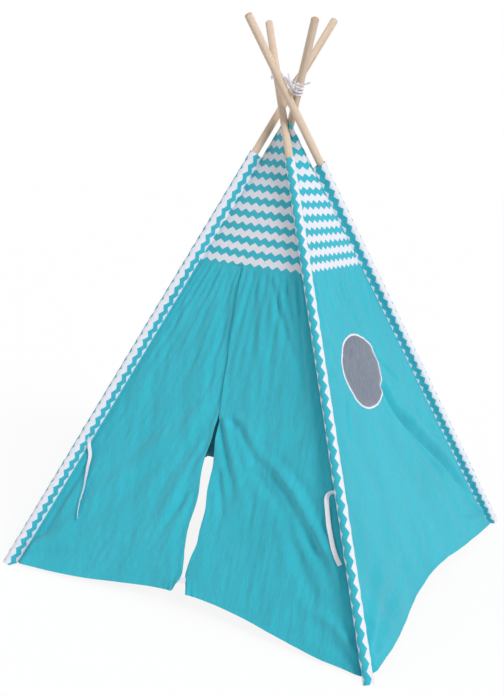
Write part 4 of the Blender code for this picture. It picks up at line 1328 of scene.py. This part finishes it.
def makeSleeve(name):
    pole = poles[name]
    along, inward, sideways = (np.array(pole[k]) for k in ("along", "inward", "side"))
    foot = np.array(pole["foot"])
    top = (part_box(name + "_sleeve")[1].z + sleeve["rise"]) / along[2]
    rows = max(8, round(top / sleeve["spacing"]))
    count = sleeve["around"]
    seed = 70 + cornerNames.index(name)
    phase, twist = sleeve["phase"][name], sleeve["phaseFoot"].get(name, 0.0)
    printAlong = sleeve["printAlong"].get(name, 1.0)
    points, uv = [], []
    for i in range(rows + 1):
        t = lerp(0.004, top, i / rows)

        def radiusAt(d, t=t):
            loose = ripple(np.array(d * 0.05), np.array(t), *sleeve["loose"], seed, 5)
            slack = ripple(np.array(d * 0.02), np.array(t), *sleeve["slack"], seed + 9, 4)
            hem = sleeve["topHem"] * float(smooth(top - 0.014, top - 0.012, t))
            return (sleeve["radius"] + sleeve["looseHigh"] * float(loose) + sleeve["slackHigh"] * float(slack)
                    + hem)

        row, marks = [], []
        for x, y, length in sleeveRow(count, radiusAt):
            lowest = (sleeve["floorGap"] - foot[2] - inward[2] * x) / along[2]
            at = max(t, lowest + 0.0003 * i)
            row.append(foot + along * at + inward * x + sideways * y)
            turned = twist * float(1 - smooth(0.0, sleeve["turnOver"], at))
            marks.append((at * printAlong, length + phase + turned))
        points.append(row[::-1])
        uv.append(marks[::-1])
    # the closed end under the pole, ring by ring towards its middle
    rim, rimMarks = points[0], uv[0]
    centre = foot + along * sleeve["footUp"]
    for shrink in sleeve["footRings"]:
        points.insert(0, [centre + (p - centre) * shrink for p in rim])
        uv.insert(0, [(0.0, length * shrink) for _, length in rimMarks])
    points, uv = np.array(points), np.array(uv)
    obj = gridObject(name + "_pole_sleeve", points, uv)
    thicken(obj, sleeve["wall"], -1.0)
    paint(obj, materials["printed"])
    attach(obj, name + "_pole")
    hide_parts(name + "_sleeve")
    declareSheet(obj, points[len(sleeve["footRings"]):], "folded")


for poleName in cornerNames:
    makeSleeve(poleName)
print("sleeves made")


poleTop = {
    "around": 40,
    "rounding": 0.0058,      # of its ends
    "roundingSteps": 7,
    "holeAround": 24,
    "sharp": 35,             # edges over this angle stay sharp
}


def makePoleTop(name):
    # the upper section, turned smooth, with rounded ends and the rope's hole
    middle, length = topSection(name)
    clearSelection()
    bpy.ops.mesh.primitive_cylinder_add(vertices=poleTop["around"], radius=poleRadius, depth=length, location=middle,
                                        rotation=poles[name]["along"].to_track_quat("Z", "Y").to_euler())
    obj = bpy.context.object
    obj.name = name + "_pole_top"
    bpy.ops.object.mode_set(mode="EDIT")
    bpy.ops.mesh.select_all(action="DESELECT")
    bpy.ops.object.mode_set(mode="OBJECT")
    for polygon in obj.data.polygons:
        polygon.select = len(polygon.vertices) > 4
    bpy.ops.object.mode_set(mode="EDIT")
    bpy.ops.mesh.bevel(offset=poleTop["rounding"], segments=poleTop["roundingSteps"], affect="EDGES")
    bpy.ops.object.mode_set(mode="OBJECT")
    bpy.ops.object.transform_apply(location=True, rotation=True, scale=True)
    hole, way = rope["holes"][name]
    clearSelection()
    bpy.ops.mesh.primitive_cylinder_add(vertices=poleTop["holeAround"], radius=rope["hole"] / 2,
                                        depth=4 * poleRadius, location=hole,
                                        rotation=Vector(way).to_track_quat("Z", "Y").to_euler())
    drill = bpy.context.object
    cut = obj.modifiers.new("Rope hole", "BOOLEAN")
    cut.operation = "DIFFERENCE"
    cut.solver = "MANIFOLD"
    cut.object = drill
    applyAll(obj)
    bpy.data.objects.remove(drill)
    selectOnly(obj)
    bpy.ops.object.shade_smooth_by_angle(angle=math.radians(poleTop["sharp"]))
    paint(obj, materials[name])
    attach(obj, name + "_pole")
    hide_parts(name + "_pole_upper")


for poleName in cornerNames:
    makePoleTop(poleName)
    for ending, finish in (("_pole_", materials[poleName]), ("_ferrule_", materials["steel"])):
        for nodeName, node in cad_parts.items():
            if nodeName.startswith(poleName + ending):
                node.data.materials.clear()
                node.data.materials.append(finish)
print("poles made")

studio = {
    "key": 2.2,
    "keyWay": (0.762, -0.318, 0.564),
    "keyAngle": 20,
    "fill": 0.5,
    "fillWay": (-0.85, -0.25, 0.46),
    "fillAngle": 60,
    "sky": 0.48,
    "floorWide": 40,
    "floorUp": -0.0002,
    "floorColour": (0.86, 0.86, 0.87, 1),
    "floorGlow": 0.88,       # how much of its own light is seen, besides its shadows
    "floorWhite": 1.02,
}


def seenDirectly(tree):
    path = addNode(tree, "ShaderNodeLightPath").outputs
    seen = maths(tree, "MAXIMUM", path["Is Camera Ray"], path["Is Glossy Ray"])
    return maths(tree, "MAXIMUM", seen, path["Is Transmission Ray"])


def makeStudio():
    for word in ("key", "fill"):
        lamp = bpy.data.lights.new(word, "SUN")
        lamp.energy = studio[word]
        lamp.angle = math.radians(studio[word + "Angle"])
        holder = bpy.data.objects.new(word, lamp)
        holder.rotation_euler = Vector(studio[word + "Way"]).to_track_quat("Z", "Y").to_euler()
        bpy.context.scene.collection.objects.link(holder)

    world = bpy.data.worlds.new("studio")
    world.use_nodes = True
    bpy.context.scene.world = world
    tree = world.node_tree
    background = tree.nodes["Background"]
    background.inputs["Color"].default_value = (1, 1, 1, 1)
    tree.links.new(rangeOf(tree, seenDirectly(tree), 0.0, 1.0, studio["sky"], 1.0), background.inputs["Strength"])

    clearSelection()
    bpy.ops.mesh.primitive_plane_add(size=studio["floorWide"], location=(0, 0, studio["floorUp"]))
    floor = bpy.context.object
    floor.name = "floor"
    material = bpy.data.materials.new("pale_floor")
    material.use_nodes = True
    tree = material.node_tree
    tree.nodes.remove(tree.nodes["Principled BSDF"])
    matt = addNode(tree, "ShaderNodeBsdfDiffuse", {"Color": studio["floorColour"]}).outputs[0]
    white = {"Color": (1, 1, 1, 1), "Strength": studio["floorWhite"]}
    glow = addNode(tree, "ShaderNodeEmission", white).outputs[0]
    share = maths(tree, "MULTIPLY", seenDirectly(tree), studio["floorGlow"])
    mixed = addNode(tree, "ShaderNodeMixShader", {0: share, 1: matt, 2: glow}).outputs[0]
    tree.links.new(mixed, tree.nodes["Material Output"].inputs["Surface"])
    floor.data.materials.append(material)


makeStudio()
bpy.context.scene.view_settings.view_transform = "Standard"
print("studio made")
